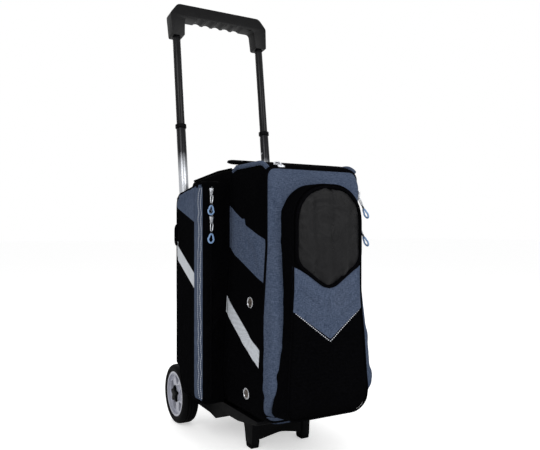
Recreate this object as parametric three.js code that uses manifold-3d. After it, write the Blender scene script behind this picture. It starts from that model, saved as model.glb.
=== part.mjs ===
// Rolling bowling bag for two balls, one above the other, in millimetres. +Z is up, -Y is the front,
// the wheels and the telescopic handle are at the rear (+Y). The bag stands on two front feet and two
// rear wheels. Its origin is on the ground, under the middle of the whole bag.
import * as THREE from 'three';
import { mergeVertices } from 'three/addons/utils/BufferGeometryUtils.js';
import Module from 'manifold-3d';

const wasm = await Module();
wasm.setup();

// ---------------------------------------------------------------- driving dimensions
const GAP = 0.3; // clearance kept between touching pieces
const LIMB = 2000; // longer than any piece, for cutting tools

// main body: fabric over board, open at the front
const BODY_HALF = 105; // half width above the flare
const FLARE = 17; // how much the half width grows towards the floor
const FLARE_TOP_Z = 430;
const FLARE_LOW_Z = 165;
const BODY_BOTTOM = 88;
const BODY_TOP = 598;
const TOP_REAR_DROP = 11; // fall of the roof at its rear edge
const BODY_FRONT = -157; // front face above the flare
const FRONT_BULGE = 26; // how much the front face stands forward near the floor
const BODY_WALL = 5;
const DOOR_WALL = 8;
const ROOF_RADIUS = 12; // side edges of the roof
const LOW_TUCK = 6; // how much the half width draws in again under the flare
const DOOR_SPLIT_Y = -140; // plane where the front door leaves the body
const TOP_FRONT_RADIUS = 50;

// telescopic handle, in a frame that leans back with the tubes
const LEAN = Math.atan(0.135);
const TUBE_X = BODY_HALF + 13.5; // half spacing of the two tubes
const TUBE_FOOT = new THREE.Vector2(205.5, 165); // y, z of the foot of the tubes
const TUBE_WALL = 1.2;
const HOUSING_R = 13.2;
const LOWER_R = HOUSING_R - TUBE_WALL - GAP - 0.1;
const UPPER_R = LOWER_R - TUBE_WALL - GAP;
const HOUSING_LENGTH = 375;
const LOWER_TOP = 560; // along the lean, from the foot
const LOWER_LENGTH = 270;
const UPPER_OVERLAP = 55;
const COLLAR_H = 9;
const COLLAR_PROUD = 2.2;
const BRACKET_H = 22; // how far the top bracket reaches down over the housings
const GRIP_LEG_BOTTOM = 800;
const GRIP_TOP = 884;
const GRIP_HALF = TUBE_X + 18.5;
const GRIP_DEPTH = 33;
const GRIP_BAR = 35;
const GRIP_LEG_WIDTH = 38;
const TUBE_IN_GRIP = 28;
const FINGERS = 5;
const WAVE = { radius: 15, pitch: 28, below: 10.5 }; // finger hollows under the bar
const BUTTON = { length: 46, width: 15, height: 9, travel: 3, proud: 1.2 };

// chassis, feet, axle and wheels
const CHASSIS_HALF = BODY_HALF + 1;
const CHASSIS_WALL = 5;
const LEG_X = 63;
const LEG_WIDTH = 18;
const LEG_LENGTH = 30;
const FOOT_PAD = 9; // height of the rubber pad
const AXLE_R = 6;
const AXLE_Y = 232;
const WHEEL_R = 70;
const WHEEL_WIDTH = 40;
const WHEEL_INNER_X = CHASSIS_HALF + 9.6;
const RIM_R = 53;
const HUB_R = 19;
const BUSH_R = 11;
const SPOKES = 5;

// front pocket on the door
const POCKET_FRONT = -196;
const POCKET_HALF = 80;
const POCKET_HALF_LOW = 97;
const POCKET_TOP = 552;
const POCKET_BOTTOM = 108;
const POCKET_WALL = 3.5;
const OVAL_HALF = 66;
const OVAL_TOP = 541;
const OVAL_HINGE_Z = 405;

// side pockets
const SIDE_OUT_X = BODY_HALF + 60;
const SIDE_FRONT_Y = 22;
const SIDE_REAR_Y = 186;
const SIDE_BOTTOM = 95;
const SIDE_TOP = 570;
const SIDE_WALL = 3.5;
const SIDE_NOTCH_Y = 163; // the corner above the wheel starts here
const SIDE_NOTCH_Z = 155;

// ball carriers
const BALL_R = 109; // a 216 mm ball with a little room
const BALL_Y = 52;
const TRAY_SHEET = 3;
const TRAY_LIP_Z = 160;
const SHELF_Z = 333;
const SHELF_SHEET = 3;
const SHELF_LIP = 28;
const CUP_HEIGHT = 36;
const CUP_HALF = 86; // half length, front to rear
const CUP_SEAT = 8; // foam left under the ball
const CARRIER_FRONT = -106;
const CARRIER_REAR = 140;

// side screws that carry the tray and the shelf
const SCREW_Y = -90;
const SCREW_Z = [143, 321];
const SCREW_HEAD_R = 11.5;
const SCREW_HEAD_H = 3;
const SCREW_R = 3;
const SCREW_LENGTH = 13;

// ---------------------------------------------------------------- materials
const finish = (color, roughness, metalness = 0) => (
  new THREE.MeshStandardMaterial({ color, roughness, metalness })
);
const BLACK_FABRIC = finish(0x17171a, 0.9);
const BLUE_FABRIC = finish(0x5f7390, 0.9);
const BLACK_PLASTIC = finish(0x101012, 0.5);
const RUBBER = finish(0x141416, 0.85);
const RIM_SILVER = finish(0xb9bcc9, 0.4, 0.3);
const STEEL = finish(0xa9acb2, 0.3, 1);
const BLACK_TUBE = finish(0x0c0c0e, 0.3, 0.4);
const FOAM = finish(0x2a2a2c, 0.95);
const PULL_BLUE = finish(0x8fb1d6, 0.6);

// ---------------------------------------------------------------- solids from outlines
/** Moves every edge of a counter-clockwise outline inwards by inset; each corner is [u, v, radius]. */
function insetOutline(corners, inset) {
  const n = corners.length;
  const edges = corners.map((p, i) => {
    const q = corners[(i + 1) % n];
    const d = new THREE.Vector2(q[0] - p[0], q[1] - p[1]).normalize();
    const normal = new THREE.Vector2(-d.y, d.x);
    return { at: new THREE.Vector2(p[0], p[1]).addScaledVector(normal, inset), d };
  });
  return corners.map((p, i) => {
    const a = edges[(i + n - 1) % n];
    const b = edges[i];
    const t = new THREE.Vector2().subVectors(b.at, a.at).cross(b.d) / a.d.cross(b.d);
    const at = a.at.clone().addScaledVector(a.d, t);
    return [at.x, at.y, Math.max((p[2] ?? 0) - inset, 0)];
  });
}

/** A closed shape through the corners, each rounded by its own radius. */
function roundedShape(corners, steps = 4) {
  const n = corners.length;
  const points = [];
  corners.forEach((corner, i) => {
    const at = new THREE.Vector2(corner[0], corner[1]);
    const before = corners[(i + n - 1) % n];
    const after = corners[(i + 1) % n];
    const back = new THREE.Vector2(before[0], before[1]).sub(at).normalize();
    const on = new THREE.Vector2(after[0], after[1]).sub(at).normalize();
    const radius = corner[2] ?? 0;
    const half = Math.acos(THREE.MathUtils.clamp(back.dot(on), -1, 1)) / 2;
    if (radius <= 0 || half > Math.PI / 2 - 0.01) {
      points.push(at);
      return;
    }
    const reach = radius / Math.tan(half);
    const centre = at.clone().addScaledVector(back.clone().add(on).normalize(), radius / Math.sin(half));
    const from = at.clone().addScaledVector(back, reach).sub(centre);
    const to = at.clone().addScaledVector(on, reach).sub(centre);
    const sweep = Math.atan2(from.cross(to), from.dot(to));
    for (let k = 0; k <= steps; k += 1) {
      points.push(from.clone().rotateAround(new THREE.Vector2(), (sweep * k) / steps).add(centre));
    }
  });
  return new THREE.Shape(points);
}

const vector = (xyz) => new THREE.Vector3(...xyz);
const basis = (x, y, z) => new THREE.Matrix4().makeBasis(vector(x), vector(y), vector(z));

/** Extrudes an outline along its own normal. */
function extrude(corners, depth, steps) {
  return new THREE.ExtrudeGeometry(roundedShape(corners, steps), { depth, bevelEnabled: false });
}

/** Extrudes an outline of (y, z) corners from x0 to x1. */
function prismX(corners, x0, x1, steps) {
  const geometry = extrude(corners, x1 - x0, steps);
  return geometry.applyMatrix4(basis([0, 1, 0], [0, 0, 1], [1, 0, 0])).translate(x0, 0, 0);
}

/** Extrudes an outline of (x, z) corners from y0 to y1. */
function prismY(corners, y0, y1, steps) {
  const geometry = extrude(corners, y1 - y0, steps);
  return geometry.applyMatrix4(basis([1, 0, 0], [0, 0, 1], [0, -1, 0])).translate(0, y1, 0);
}

/** Extrudes an outline of (x, y) corners from z0 to z1. */
function prismZ(corners, z0, z1, steps) {
  return extrude(corners, z1 - z0, steps).translate(0, 0, z0);
}

/** Corners of a rectangle, all rounded by radius. */
function rectangle(u0, v0, u1, v1, radius = 0) {
  return [[u0, v0, radius], [u1, v0, radius], [u1, v1, radius], [u0, v1, radius]];
}

/** A rod along X, Y or Z through a point. */
function rod(axis, radius, from, to, a, b, sides = 20) {
  const geometry = new THREE.CylinderGeometry(radius, radius, to - from, sides);
  if (axis === 'x') return geometry.rotateZ(-Math.PI / 2).translate((from + to) / 2, a, b);
  if (axis === 'y') return geometry.translate(a, (from + to) / 2, b);
  return geometry.rotateX(Math.PI / 2).translate(a, b, (from + to) / 2);
}

/** A body of revolution about the X axis through (y, z); the profile is [radius, x] and closes on itself. */
function turnedX(profile, y, z, sides = 36) {
  const ring = [...profile, profile[0]].map(([r, x]) => new THREE.Vector2(r, x));
  return new THREE.LatheGeometry(ring, sides).rotateZ(-Math.PI / 2).translate(0, y, z);
}

function toSolid(geometry) {
  const bare = geometry.clone();
  for (const name of Object.keys(bare.attributes)) if (name !== 'position') bare.deleteAttribute(name);
  const merged = mergeVertices(bare.index ? bare.toNonIndexed() : bare, 1e-4);
  const vertProperties = new Float32Array(merged.attributes.position.array);
  const triVerts = new Uint32Array(merged.index.array);
  return new wasm.Manifold(new wasm.Mesh({ numProp: 3, vertProperties, triVerts }));
}

function toGeometry(solid) {
  const mesh = solid.getMesh();
  const geometry = new THREE.BufferGeometry();
  geometry.setAttribute('position', new THREE.BufferAttribute(new Float32Array(mesh.vertProperties), 3));
  geometry.setIndex(new THREE.BufferAttribute(new Uint32Array(mesh.triVerts), 1));
  return geometry;
}

/** Applies one boolean, by its name in the solid library, with each other geometry in turn. */
function combine(operation, first, others) {
  return toGeometry(others.reduce((solid, other) => solid[operation](toSolid(other)), toSolid(first)));
}
const cut = (from, ...tools) => combine('subtract', from, tools);
const join = (first, ...others) => combine('add', first, others);
const common = (first, ...others) => combine('intersect', first, others);

// ---------------------------------------------------------------- scene graph
const bag = new THREE.Group();
const handle = new THREE.Group(); // everything that leans with the tubes
handle.position.set(0, TUBE_FOOT.x, TUBE_FOOT.y);
handle.rotation.x = -LEAN;
bag.add(handle);

function add(name, geometry, material, parent = bag) {
  const mesh = new THREE.Mesh(geometry, material);
  mesh.name = name;
  parent.add(mesh);
  return mesh;
}

/** Adds a left piece and its mirror image on the right; build gets the side, -1 or +1. */
function addPair(name, build, material, parent = bag) {
  for (const side of [-1, 1]) add(`${name}_${side < 0 ? 'left' : 'right'}`, build(side), material, parent);
}

/** Low and high x of a slab that lies between two distances from the middle, on one side. */
const span = (side, near, far) => (side > 0 ? [near, far] : [-far, -near]);

// ---------------------------------------------------------------- outer form of the body
const leanY = (z, offset) => TUBE_FOOT.x + (z - TUBE_FOOT.y) * Math.tan(LEAN) + offset;
const BODY_BACK = -(HOUSING_R + 7); // rear face of the body, from the tubes' centre plane
const TOP_REAR = BODY_TOP - TOP_REAR_DROP;

const SIDE_VIEW = [
  [-112, BODY_BOTTOM, 20],
  [leanY(BODY_BOTTOM, BODY_BACK), BODY_BOTTOM, 8],
  [leanY(TOP_REAR, BODY_BACK), TOP_REAR, 14],
  [90, BODY_TOP, 0],
  [BODY_FRONT, BODY_TOP, TOP_FRONT_RADIUS],
  [BODY_FRONT, FLARE_TOP_Z, 0],
  [BODY_FRONT - FRONT_BULGE, FLARE_LOW_Z - 10, 35],
  [BODY_FRONT + 6, BODY_BOTTOM + 10, 25],
];
const FRONT_VIEW = [
  [-(BODY_HALF + FLARE - LOW_TUCK), BODY_BOTTOM, 36],
  [BODY_HALF + FLARE - LOW_TUCK, BODY_BOTTOM, 36],
  [BODY_HALF + FLARE, FLARE_LOW_Z, 0],
  [BODY_HALF, FLARE_TOP_Z, 0],
  [BODY_HALF, BODY_TOP, ROOF_RADIUS],
  [-BODY_HALF, BODY_TOP, ROOF_RADIUS],
  [-BODY_HALF, FLARE_TOP_Z, 0],
  [-(BODY_HALF + FLARE), FLARE_LOW_Z, 0],
];

/** The body's outer form moved inwards by inset, or outwards where inset is negative. */
function bodyForm(inset) {
  return common(
    prismX(insetOutline(SIDE_VIEW, inset), -LIMB / 8, LIMB / 8),
    prismY(insetOutline(FRONT_VIEW, inset), -LIMB / 4, LIMB / 4),
  );
}
const slabY = (y0, y1, z0 = -LIMB, z1 = LIMB) => prismY(rectangle(-LIMB, z0, LIMB, z1), y0, y1);

/** Half width of the body's outside at a height, above the rounding of its bottom edge. */
function halfWidthAt(z) {
  const down = THREE.MathUtils.clamp((FLARE_TOP_Z - z) / (FLARE_TOP_Z - FLARE_LOW_Z), 0, 1);
  return BODY_HALF + FLARE * down - LOW_TUCK * Math.max((FLARE_LOW_Z - z) / (FLARE_LOW_Z - BODY_BOTTOM), 0);
}
const screwHoles = SCREW_Z.map((z) => rod('x', SCREW_R + 0.4, -LIMB / 4, LIMB / 4, SCREW_Y, z, 16));

// body shell, open towards the front door
add('main_body', cut(
  bodyForm(0),
  bodyForm(BODY_WALL),
  slabY(-LIMB, DOOR_SPLIT_Y),
  ...screwHoles,
), BLACK_FABRIC);

// ---------------------------------------------------------------- ball carriers
const carrierFit = BODY_WALL + GAP;
const above = (z) => prismY(rectangle(-LIMB, z, LIMB, LIMB), -LIMB, LIMB);
const carrierSpan = slabY(CARRIER_FRONT, CARRIER_REAR);
const frontForm = (inset) => prismY(insetOutline(FRONT_VIEW, inset), -LIMB / 4, LIMB / 4);

// lower tray: a sheet bent up along both walls
add('ball_tray', cut(
  common(frontForm(carrierFit), carrierSpan),
  frontForm(carrierFit + TRAY_SHEET),
  above(TRAY_LIP_Z),
  ...screwHoles,
), BLACK_PLASTIC);

// upper shelf: a board whose lips turn down along both walls
add('ball_shelf', cut(
  common(frontForm(carrierFit), carrierSpan, slabY(-LIMB, LIMB, SHELF_Z - SHELF_LIP, SHELF_Z + SHELF_SHEET)),
  common(frontForm(carrierFit + SHELF_SHEET), slabY(-LIMB, LIMB, 0, SHELF_Z)),
  ...screwHoles,
), BLACK_PLASTIC);

/** A foam block on a carrier with a bowl for the ball. */
function ballCup(floor) {
  const ball = new THREE.SphereGeometry(BALL_R, 24, 18).rotateX(Math.PI / 2);
  const length = slabY(BALL_Y - CUP_HALF, BALL_Y + CUP_HALF, floor, floor + CUP_HEIGHT);
  const block = common(frontForm(carrierFit + TRAY_SHEET + GAP), length);
  return cut(block, ball.translate(0, BALL_Y, floor + CUP_SEAT + BALL_R));
}
add('ball_cup_lower', ballCup(BODY_BOTTOM + carrierFit + TRAY_SHEET + GAP), FOAM);
add('ball_cup_upper', ballCup(SHELF_Z + SHELF_SHEET + GAP), FOAM);

// two screws in each side wall hold the tray and the shelf
function sideScrew(side, z) {
  const seat = Math.max(halfWidthAt(z - SCREW_HEAD_R), halfWidthAt(z + SCREW_HEAD_R)) + GAP;
  return join(
    rod('x', SCREW_HEAD_R, ...span(side, seat, seat + SCREW_HEAD_H), SCREW_Y, z, 24),
    rod('x', SCREW_R, ...span(side, seat - SCREW_LENGTH, seat + 1), SCREW_Y, z, 16),
  );
}
SCREW_Z.forEach((z, i) => addPair(`side_screw_${i + 1}`, (side) => sideScrew(side, z), STEEL));

// ---------------------------------------------------------------- front door and its pocket
add('front_panel', cut(
  common(bodyForm(0), slabY(-LIMB, DOOR_SPLIT_Y - GAP)),
  bodyForm(DOOR_WALL),
), BLUE_FABRIC);

const POCKET_SIDE_VIEW = [
  [-120, POCKET_BOTTOM, 0],
  [-120, POCKET_TOP, 0],
  [POCKET_FRONT, POCKET_TOP, 12],
  [POCKET_FRONT, 300, 0],
  [POCKET_FRONT - 14, 150, 30],
  [POCKET_FRONT + 4, POCKET_BOTTOM, 18],
];
const POCKET_FRONT_VIEW = [
  [-(POCKET_HALF_LOW - 3), POCKET_BOTTOM, 26],
  [POCKET_HALF_LOW - 3, POCKET_BOTTOM, 26],
  [POCKET_HALF_LOW, 150, 0],
  [POCKET_HALF, 350, 0],
  [POCKET_HALF, POCKET_TOP, 68],
  [-POCKET_HALF, POCKET_TOP, 68],
  [-POCKET_HALF, 350, 0],
  [-POCKET_HALF_LOW, 150, 0],
];
function pocketForm(inset) {
  return common(
    prismX(insetOutline(POCKET_SIDE_VIEW, inset), -LIMB / 8, LIMB / 8),
    prismY(insetOutline(POCKET_FRONT_VIEW, inset), -LIMB / 4, LIMB / 4),
  );
}
const OVAL_VIEW = [
  [-OVAL_HALF, OVAL_HINGE_Z, 6],
  [OVAL_HALF, OVAL_HINGE_Z, 6],
  [OVAL_HALF, OVAL_TOP, 58],
  [-OVAL_HALF, OVAL_TOP, 58],
];
add('front_pocket', cut(
  pocketForm(0),
  pocketForm(POCKET_WALL),
  bodyForm(-GAP),
  prismY(insetOutline(OVAL_VIEW, -GAP), POCKET_FRONT - 5, POCKET_FRONT + POCKET_WALL + 5),
), BLACK_FABRIC);
add('oval_panel', prismY(OVAL_VIEW, POCKET_FRONT, POCKET_FRONT + POCKET_WALL), BLACK_FABRIC);

// ---------------------------------------------------------------- side pockets
const SIDE_POCKET_VIEW = [
  [SIDE_FRONT_Y, SIDE_BOTTOM, 8],
  [SIDE_NOTCH_Y - 13, SIDE_BOTTOM, 8],
  [SIDE_NOTCH_Y + 3, SIDE_NOTCH_Z - 4, 0],
  [SIDE_REAR_Y, SIDE_NOTCH_Z, 4],
  [SIDE_REAR_Y, SIDE_TOP - 22, 16],
  [SIDE_FRONT_Y, SIDE_TOP, 12],
];
addPair('side_pocket', (side) => {
  const [low, high] = span(side, BODY_HALF + GAP, SIDE_OUT_X);
  const inside = cut(
    prismX(insetOutline(SIDE_POCKET_VIEW, SIDE_WALL), ...span(side, 0, SIDE_OUT_X + 5)),
    bodyForm(-GAP - SIDE_WALL),
  );
  return cut(prismX(SIDE_POCKET_VIEW, low, high), bodyForm(-GAP), inside);
}, BLACK_FABRIC);
addPair('side_panel', (side) => (
  prismX(insetOutline(SIDE_POCKET_VIEW, SIDE_WALL + GAP), ...span(side, SIDE_OUT_X - SIDE_WALL, SIDE_OUT_X))
), BLACK_FABRIC);

// webbing loop on the rear wall of each side pocket
const LOOP = { near: SIDE_OUT_X - 25, far: SIDE_OUT_X - 5, low: 424, high: 481, reach: 29, strap: 3 };
addPair('rear_loop', (side) => {
  const rear = SIDE_REAR_Y + GAP;
  const outside = [
    [rear, LOOP.low, 0],
    [rear + LOOP.reach, LOOP.low + 6, 14],
    [rear + LOOP.reach, LOOP.high - 6, 14],
    [rear, LOOP.high, 0],
  ];
  const x = span(side, LOOP.near, LOOP.far);
  return cut(prismX(outside, ...x), prismX(insetOutline(outside, LOOP.strap), x[0] - 1, x[1] + 1));
}, BLACK_FABRIC);

// ---------------------------------------------------------------- chassis, feet and axle
const CHASSIS_TOP = BODY_BOTTOM - GAP;
const BAR_LOW = -14; // underside of the bar that carries the tubes, along the lean
const BAR_HALF_DEPTH = 15;
const postTop = TUBE_FOOT.y + BAR_LOW * Math.cos(LEAN) - BAR_HALF_DEPTH * Math.sin(LEAN) - GAP;
const CHASSIS_VIEW = [
  [-104, CHASSIS_TOP, 0],
  [-104, 80, 4],
  [-20, 67, 0],
  [27, 66, 20],
  [95, 41, 10],
  [125, 46, 0],
  [AXLE_Y - 20, 48, 0],
  [AXLE_Y + 26, 54, 8],
  [AXLE_Y + 26, 92, 12],
  [AXLE_Y - 12, 98, 8],
  [AXLE_Y - 12, postTop, 3],
  [leanY(postTop, -14), postTop, 3],
  [leanY(postTop, -14), CHASSIS_TOP, 0],
];
const LEG_VIEW = [
  [-LEG_LENGTH / 2 - 1, FOOT_PAD + GAP, 0],
  [LEG_LENGTH / 2 - 3, FOOT_PAD + GAP, 0],
  [LEG_LENGTH / 2 + 3, 36, 12],
  [LEG_LENGTH / 2 + 16, 72, 0],
  [-LEG_LENGTH / 2 - 5, 76, 0],
];
const legSpan = (side) => span(side, LEG_X - LEG_WIDTH / 2, LEG_X + LEG_WIDTH / 2);
const leg = (side) => prismX(LEG_VIEW, ...legSpan(side));
const web = prismY([
  [-LEG_X, 18, 0], [-LEG_X + 14, 18, 6], [0, 27, 60], [LEG_X - 14, 18, 6], [LEG_X, 18, 0],
  [LEG_X, 74, 0], [-LEG_X, 74, 0],
], -14, 0);
// hollows that leave a wall and a middle rib: an open tray under the body, and a post open from below
const TRAY_HOLLOW = [
  [0, CHASSIS_TOP + 2, 0], [0, 73, 4], [30, 72, 0], [95, 47, 6], [125, 51, 0],
  [AXLE_Y - 54, 54, 4], [AXLE_Y - 54, CHASSIS_TOP + 2, 0],
];
const POST_HOLLOW = rectangle(
  leanY(postTop, -14) + CHASSIS_WALL, 0, AXLE_Y - 12 - CHASSIS_WALL, postTop - CHASSIS_WALL,
);
const hollow = (view) => [-1, 1].map((side) => (
  prismX(view, ...span(side, CHASSIS_WALL / 2, CHASSIS_HALF - CHASSIS_WALL))
));
add('base_chassis', cut(
  join(prismX(CHASSIS_VIEW, -CHASSIS_HALF, CHASSIS_HALF), leg(-1), leg(1), web),
  rod('x', AXLE_R + GAP, -LIMB / 4, LIMB / 4, AXLE_Y, WHEEL_R, 20),
  ...hollow(TRAY_HOLLOW),
  ...hollow(POST_HOLLOW),
), BLACK_PLASTIC);

const FOOT_VIEW = [
  [-LEG_LENGTH / 2 + 1, 0, 4],
  [LEG_LENGTH / 2 - 5, 0, 4],
  [LEG_LENGTH / 2 - 3, FOOT_PAD, 0],
  [-LEG_LENGTH / 2 - 1, FOOT_PAD, 0],
];
addPair('foot', (side) => prismX(FOOT_VIEW, ...legSpan(side)), RUBBER);

/** Turns a closed geometry right side out. */
function outward(geometry) {
  const bare = geometry.index ? geometry.toNonIndexed() : geometry;
  const p = bare.attributes.position;
  const [a, b, c] = [0, 1, 2].map(() => new THREE.Vector3());
  let volume = 0;
  for (let i = 0; i < p.count; i += 3) {
    a.fromBufferAttribute(p, i);
    b.fromBufferAttribute(p, i + 1);
    c.fromBufferAttribute(p, i + 2);
    volume += a.dot(b.cross(c));
  }
  if (volume > 0) return bare;
  const index = [];
  for (let i = 0; i < p.count; i += 3) index.push(i, i + 2, i + 1);
  bare.setIndex(index);
  return bare;
}
const HUB_END = WHEEL_INNER_X + 34.4; // outer end of the hub and of the axle
const turned = (side, profile, sides) => (
  outward(turnedX(profile.map(([r, x]) => [r, side * x]), AXLE_Y, WHEEL_R, sides))
);

add('axle', rod('x', AXLE_R, -HUB_END, HUB_END, AXLE_Y, WHEEL_R, 20), STEEL);
addPair('axle_spacer', (side) => turned(side, [
  [AXLE_R + GAP, CHASSIS_HALF + GAP], [BUSH_R, CHASSIS_HALF + GAP],
  [BUSH_R, WHEEL_INNER_X], [AXLE_R + GAP, WHEEL_INNER_X],
], 24), BLACK_PLASTIC);

// ---------------------------------------------------------------- wheels
const WHEEL_OUTER_X = WHEEL_INNER_X + WHEEL_WIDTH;
addPair('tyre', (side) => turned(side, [
  [RIM_R + GAP, WHEEL_INNER_X + 2], [60, WHEEL_INNER_X], [66, WHEEL_INNER_X + 1.5],
  [WHEEL_R, WHEEL_INNER_X + 8], [WHEEL_R, WHEEL_OUTER_X - 8],
  [66, WHEEL_OUTER_X - 1.5], [60, WHEEL_OUTER_X], [RIM_R + GAP, WHEEL_OUTER_X - 2],
], 36), RUBBER);

function rim(side) {
  const band = RIM_R - 5;
  const disc = [WHEEL_OUTER_X - 22, WHEEL_OUTER_X - 9];
  const edges = [WHEEL_INNER_X + 2.5, WHEEL_OUTER_X - 2.5];
  const solid = turned(side, [
    [BUSH_R + GAP, WHEEL_INNER_X + GAP], [HUB_R, WHEEL_INNER_X + GAP], [HUB_R, disc[0]], [band, disc[0]],
    [band, edges[0]], [RIM_R, edges[0]], [RIM_R, edges[1]], [band, edges[1]],
    [band, disc[1]], [HUB_R, disc[1]], [HUB_R, HUB_END], [BUSH_R + GAP, HUB_END],
  ], 30);
  const window = [
    [-4, HUB_R + 4, 3], [4, HUB_R + 4, 3], [17, band - 7, 5], [0, band - 1, 8], [-17, band - 7, 5],
  ];
  const windows = Array.from({ length: SPOKES }, (_, i) => {
    const geometry = prismX(window, ...span(side, 0, LIMB / 4), 3);
    return geometry.rotateX((2 * Math.PI * i) / SPOKES).translate(0, AXLE_Y, WHEEL_R);
  });
  return cut(solid, ...windows);
}
addPair('rim', rim, RIM_SILVER);
addPair('wheel_bush', (side) => turned(side, [
  [AXLE_R + GAP, WHEEL_INNER_X + GAP], [BUSH_R, WHEEL_INNER_X + GAP],
  [BUSH_R, HUB_END - 1], [AXLE_R + GAP, HUB_END - 1],
], 24), BLACK_PLASTIC);
addPair('hub_cap', (side) => (
  rod('x', HUB_R - 1, ...span(side, HUB_END + GAP, HUB_END + 6), AXLE_Y, WHEEL_R, 30)
), BLACK_PLASTIC);

// ---------------------------------------------------------------- telescopic handle, along the lean
const tube = (side, outer, wall, from, to, sides = 20) => cut(
  rod('z', outer, from, to, side * TUBE_X, 0, sides),
  rod('z', outer - wall, from - 1, to + 1, side * TUBE_X, 0, sides),
);
const BOARD = 4;
const bodyBack = BODY_BACK * Math.cos(LEAN);
const boardLow = (BODY_BOTTOM + 4 - TUBE_FOOT.y) / Math.cos(LEAN);
const boardHigh = (TOP_REAR - 16 - TUBE_FOOT.y) / Math.cos(LEAN);
add('back_board', prismZ(
  rectangle(-BODY_HALF + 2, bodyBack + GAP, BODY_HALF - 2, bodyBack + GAP + BOARD), boardLow, boardHigh,
), BLACK_PLASTIC, handle);

const carrierFront = bodyBack + 2 * GAP + BOARD;
const tubeSeats = (radius, from, to) => (
  [-1, 1].map((side) => rod('z', radius, from, to, side * TUBE_X, 0))
);
const barPlan = rectangle(-TUBE_X - 16, carrierFront, TUBE_X + 16, BAR_HALF_DEPTH, 7);
add('handle_foot_bar', join(
  prismZ(barPlan, BAR_LOW, -GAP),
  ...tubeSeats(HOUSING_R - TUBE_WALL - GAP, BAR_LOW + 1, 18),
), BLACK_PLASTIC, handle);
add('handle_top_bracket', cut(
  prismZ(barPlan, HOUSING_LENGTH - BRACKET_H, HOUSING_LENGTH + COLLAR_H),
  ...tubeSeats(HOUSING_R + GAP, 0, HOUSING_LENGTH + GAP),
  ...tubeSeats(LOWER_R + GAP, 0, HOUSING_LENGTH + 2 * COLLAR_H),
), BLACK_PLASTIC, handle);
addPair('handle_housing', (side) => tube(side, HOUSING_R, TUBE_WALL, 0, HOUSING_LENGTH), BLACK_TUBE, handle);

const PIN_S = LOWER_TOP - UPPER_OVERLAP + 5; // height of the stage pins, along the lean
const PIN_R = 3;
const pinRod = (side, radius, far) => (
  rod('x', radius, ...span(side, TUBE_X - far, TUBE_X - UPPER_R - GAP), 0, PIN_S, 16)
);
addPair('lower_tube', (side) => cut(
  tube(side, LOWER_R, TUBE_WALL, LOWER_TOP - LOWER_LENGTH, LOWER_TOP),
  pinRod(side, PIN_R + GAP, LOWER_R + 5),
), BLACK_TUBE, handle);
addPair('stage_pin', (side) => common(
  pinRod(side, PIN_R, LOWER_R + 5),
  rod('z', LOWER_R - 0.1, 0, LIMB, side * TUBE_X, 0),
), STEEL, handle);
const collarR = LOWER_R + COLLAR_PROUD;
addPair('stage_collar', (side) => (
  tube(side, collarR, collarR - UPPER_R - GAP, LOWER_TOP + GAP, LOWER_TOP + GAP + COLLAR_H)
), BLACK_PLASTIC, handle);
addPair('upper_tube', (side) => (
  tube(side, UPPER_R, TUBE_WALL, LOWER_TOP - UPPER_OVERLAP, GRIP_LEG_BOTTOM + TUBE_IN_GRIP)
), BLACK_TUBE, handle);

// grip: a bar with a leg over each tube, finger waves under the bar and a release button in its top
const gripUnder = GRIP_TOP - GRIP_BAR;
const legInner = GRIP_HALF - GRIP_LEG_WIDTH;
const GRIP_VIEW = [
  [-GRIP_HALF + 3, GRIP_LEG_BOTTOM, 4], [-legInner - 3, GRIP_LEG_BOTTOM, 4], [-legInner, gripUnder, 9],
  [legInner, gripUnder, 9], [legInner + 3, GRIP_LEG_BOTTOM, 4], [GRIP_HALF - 3, GRIP_LEG_BOTTOM, 4],
  [GRIP_HALF, GRIP_TOP - 26, 12], [GRIP_HALF - 20, GRIP_TOP, 16],
  [-GRIP_HALF + 20, GRIP_TOP, 16], [-GRIP_HALF, GRIP_TOP - 26, 12],
];
const fingerWave = (i) => {
  const x = (i - (FINGERS - 1) / 2) * WAVE.pitch;
  return rod('y', WAVE.radius, -GRIP_DEPTH, GRIP_DEPTH, x, gripUnder - WAVE.below, 24);
};
const buttonFloor = GRIP_TOP + BUTTON.proud - BUTTON.height;
const [buttonU, buttonV] = [BUTTON.length / 2, BUTTON.width / 2];
const buttonPlan = rectangle(-buttonU, -buttonV, buttonU, buttonV, 7);
add('grip', cut(
  prismY(GRIP_VIEW, -GRIP_DEPTH / 2, GRIP_DEPTH / 2),
  ...Array.from({ length: FINGERS }, (_, i) => fingerWave(i)),
  ...tubeSeats(UPPER_R + GAP, 0, GRIP_LEG_BOTTOM + TUBE_IN_GRIP + GAP),
  prismZ(insetOutline(buttonPlan, -GAP), buttonFloor - BUTTON.travel - GAP, GRIP_TOP + 20),
), BLACK_PLASTIC, handle);
const buttonTop = buttonFloor + BUTTON.height;
add('release_button', prismZ(buttonPlan, buttonFloor, buttonTop), BLACK_PLASTIC, handle);

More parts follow.
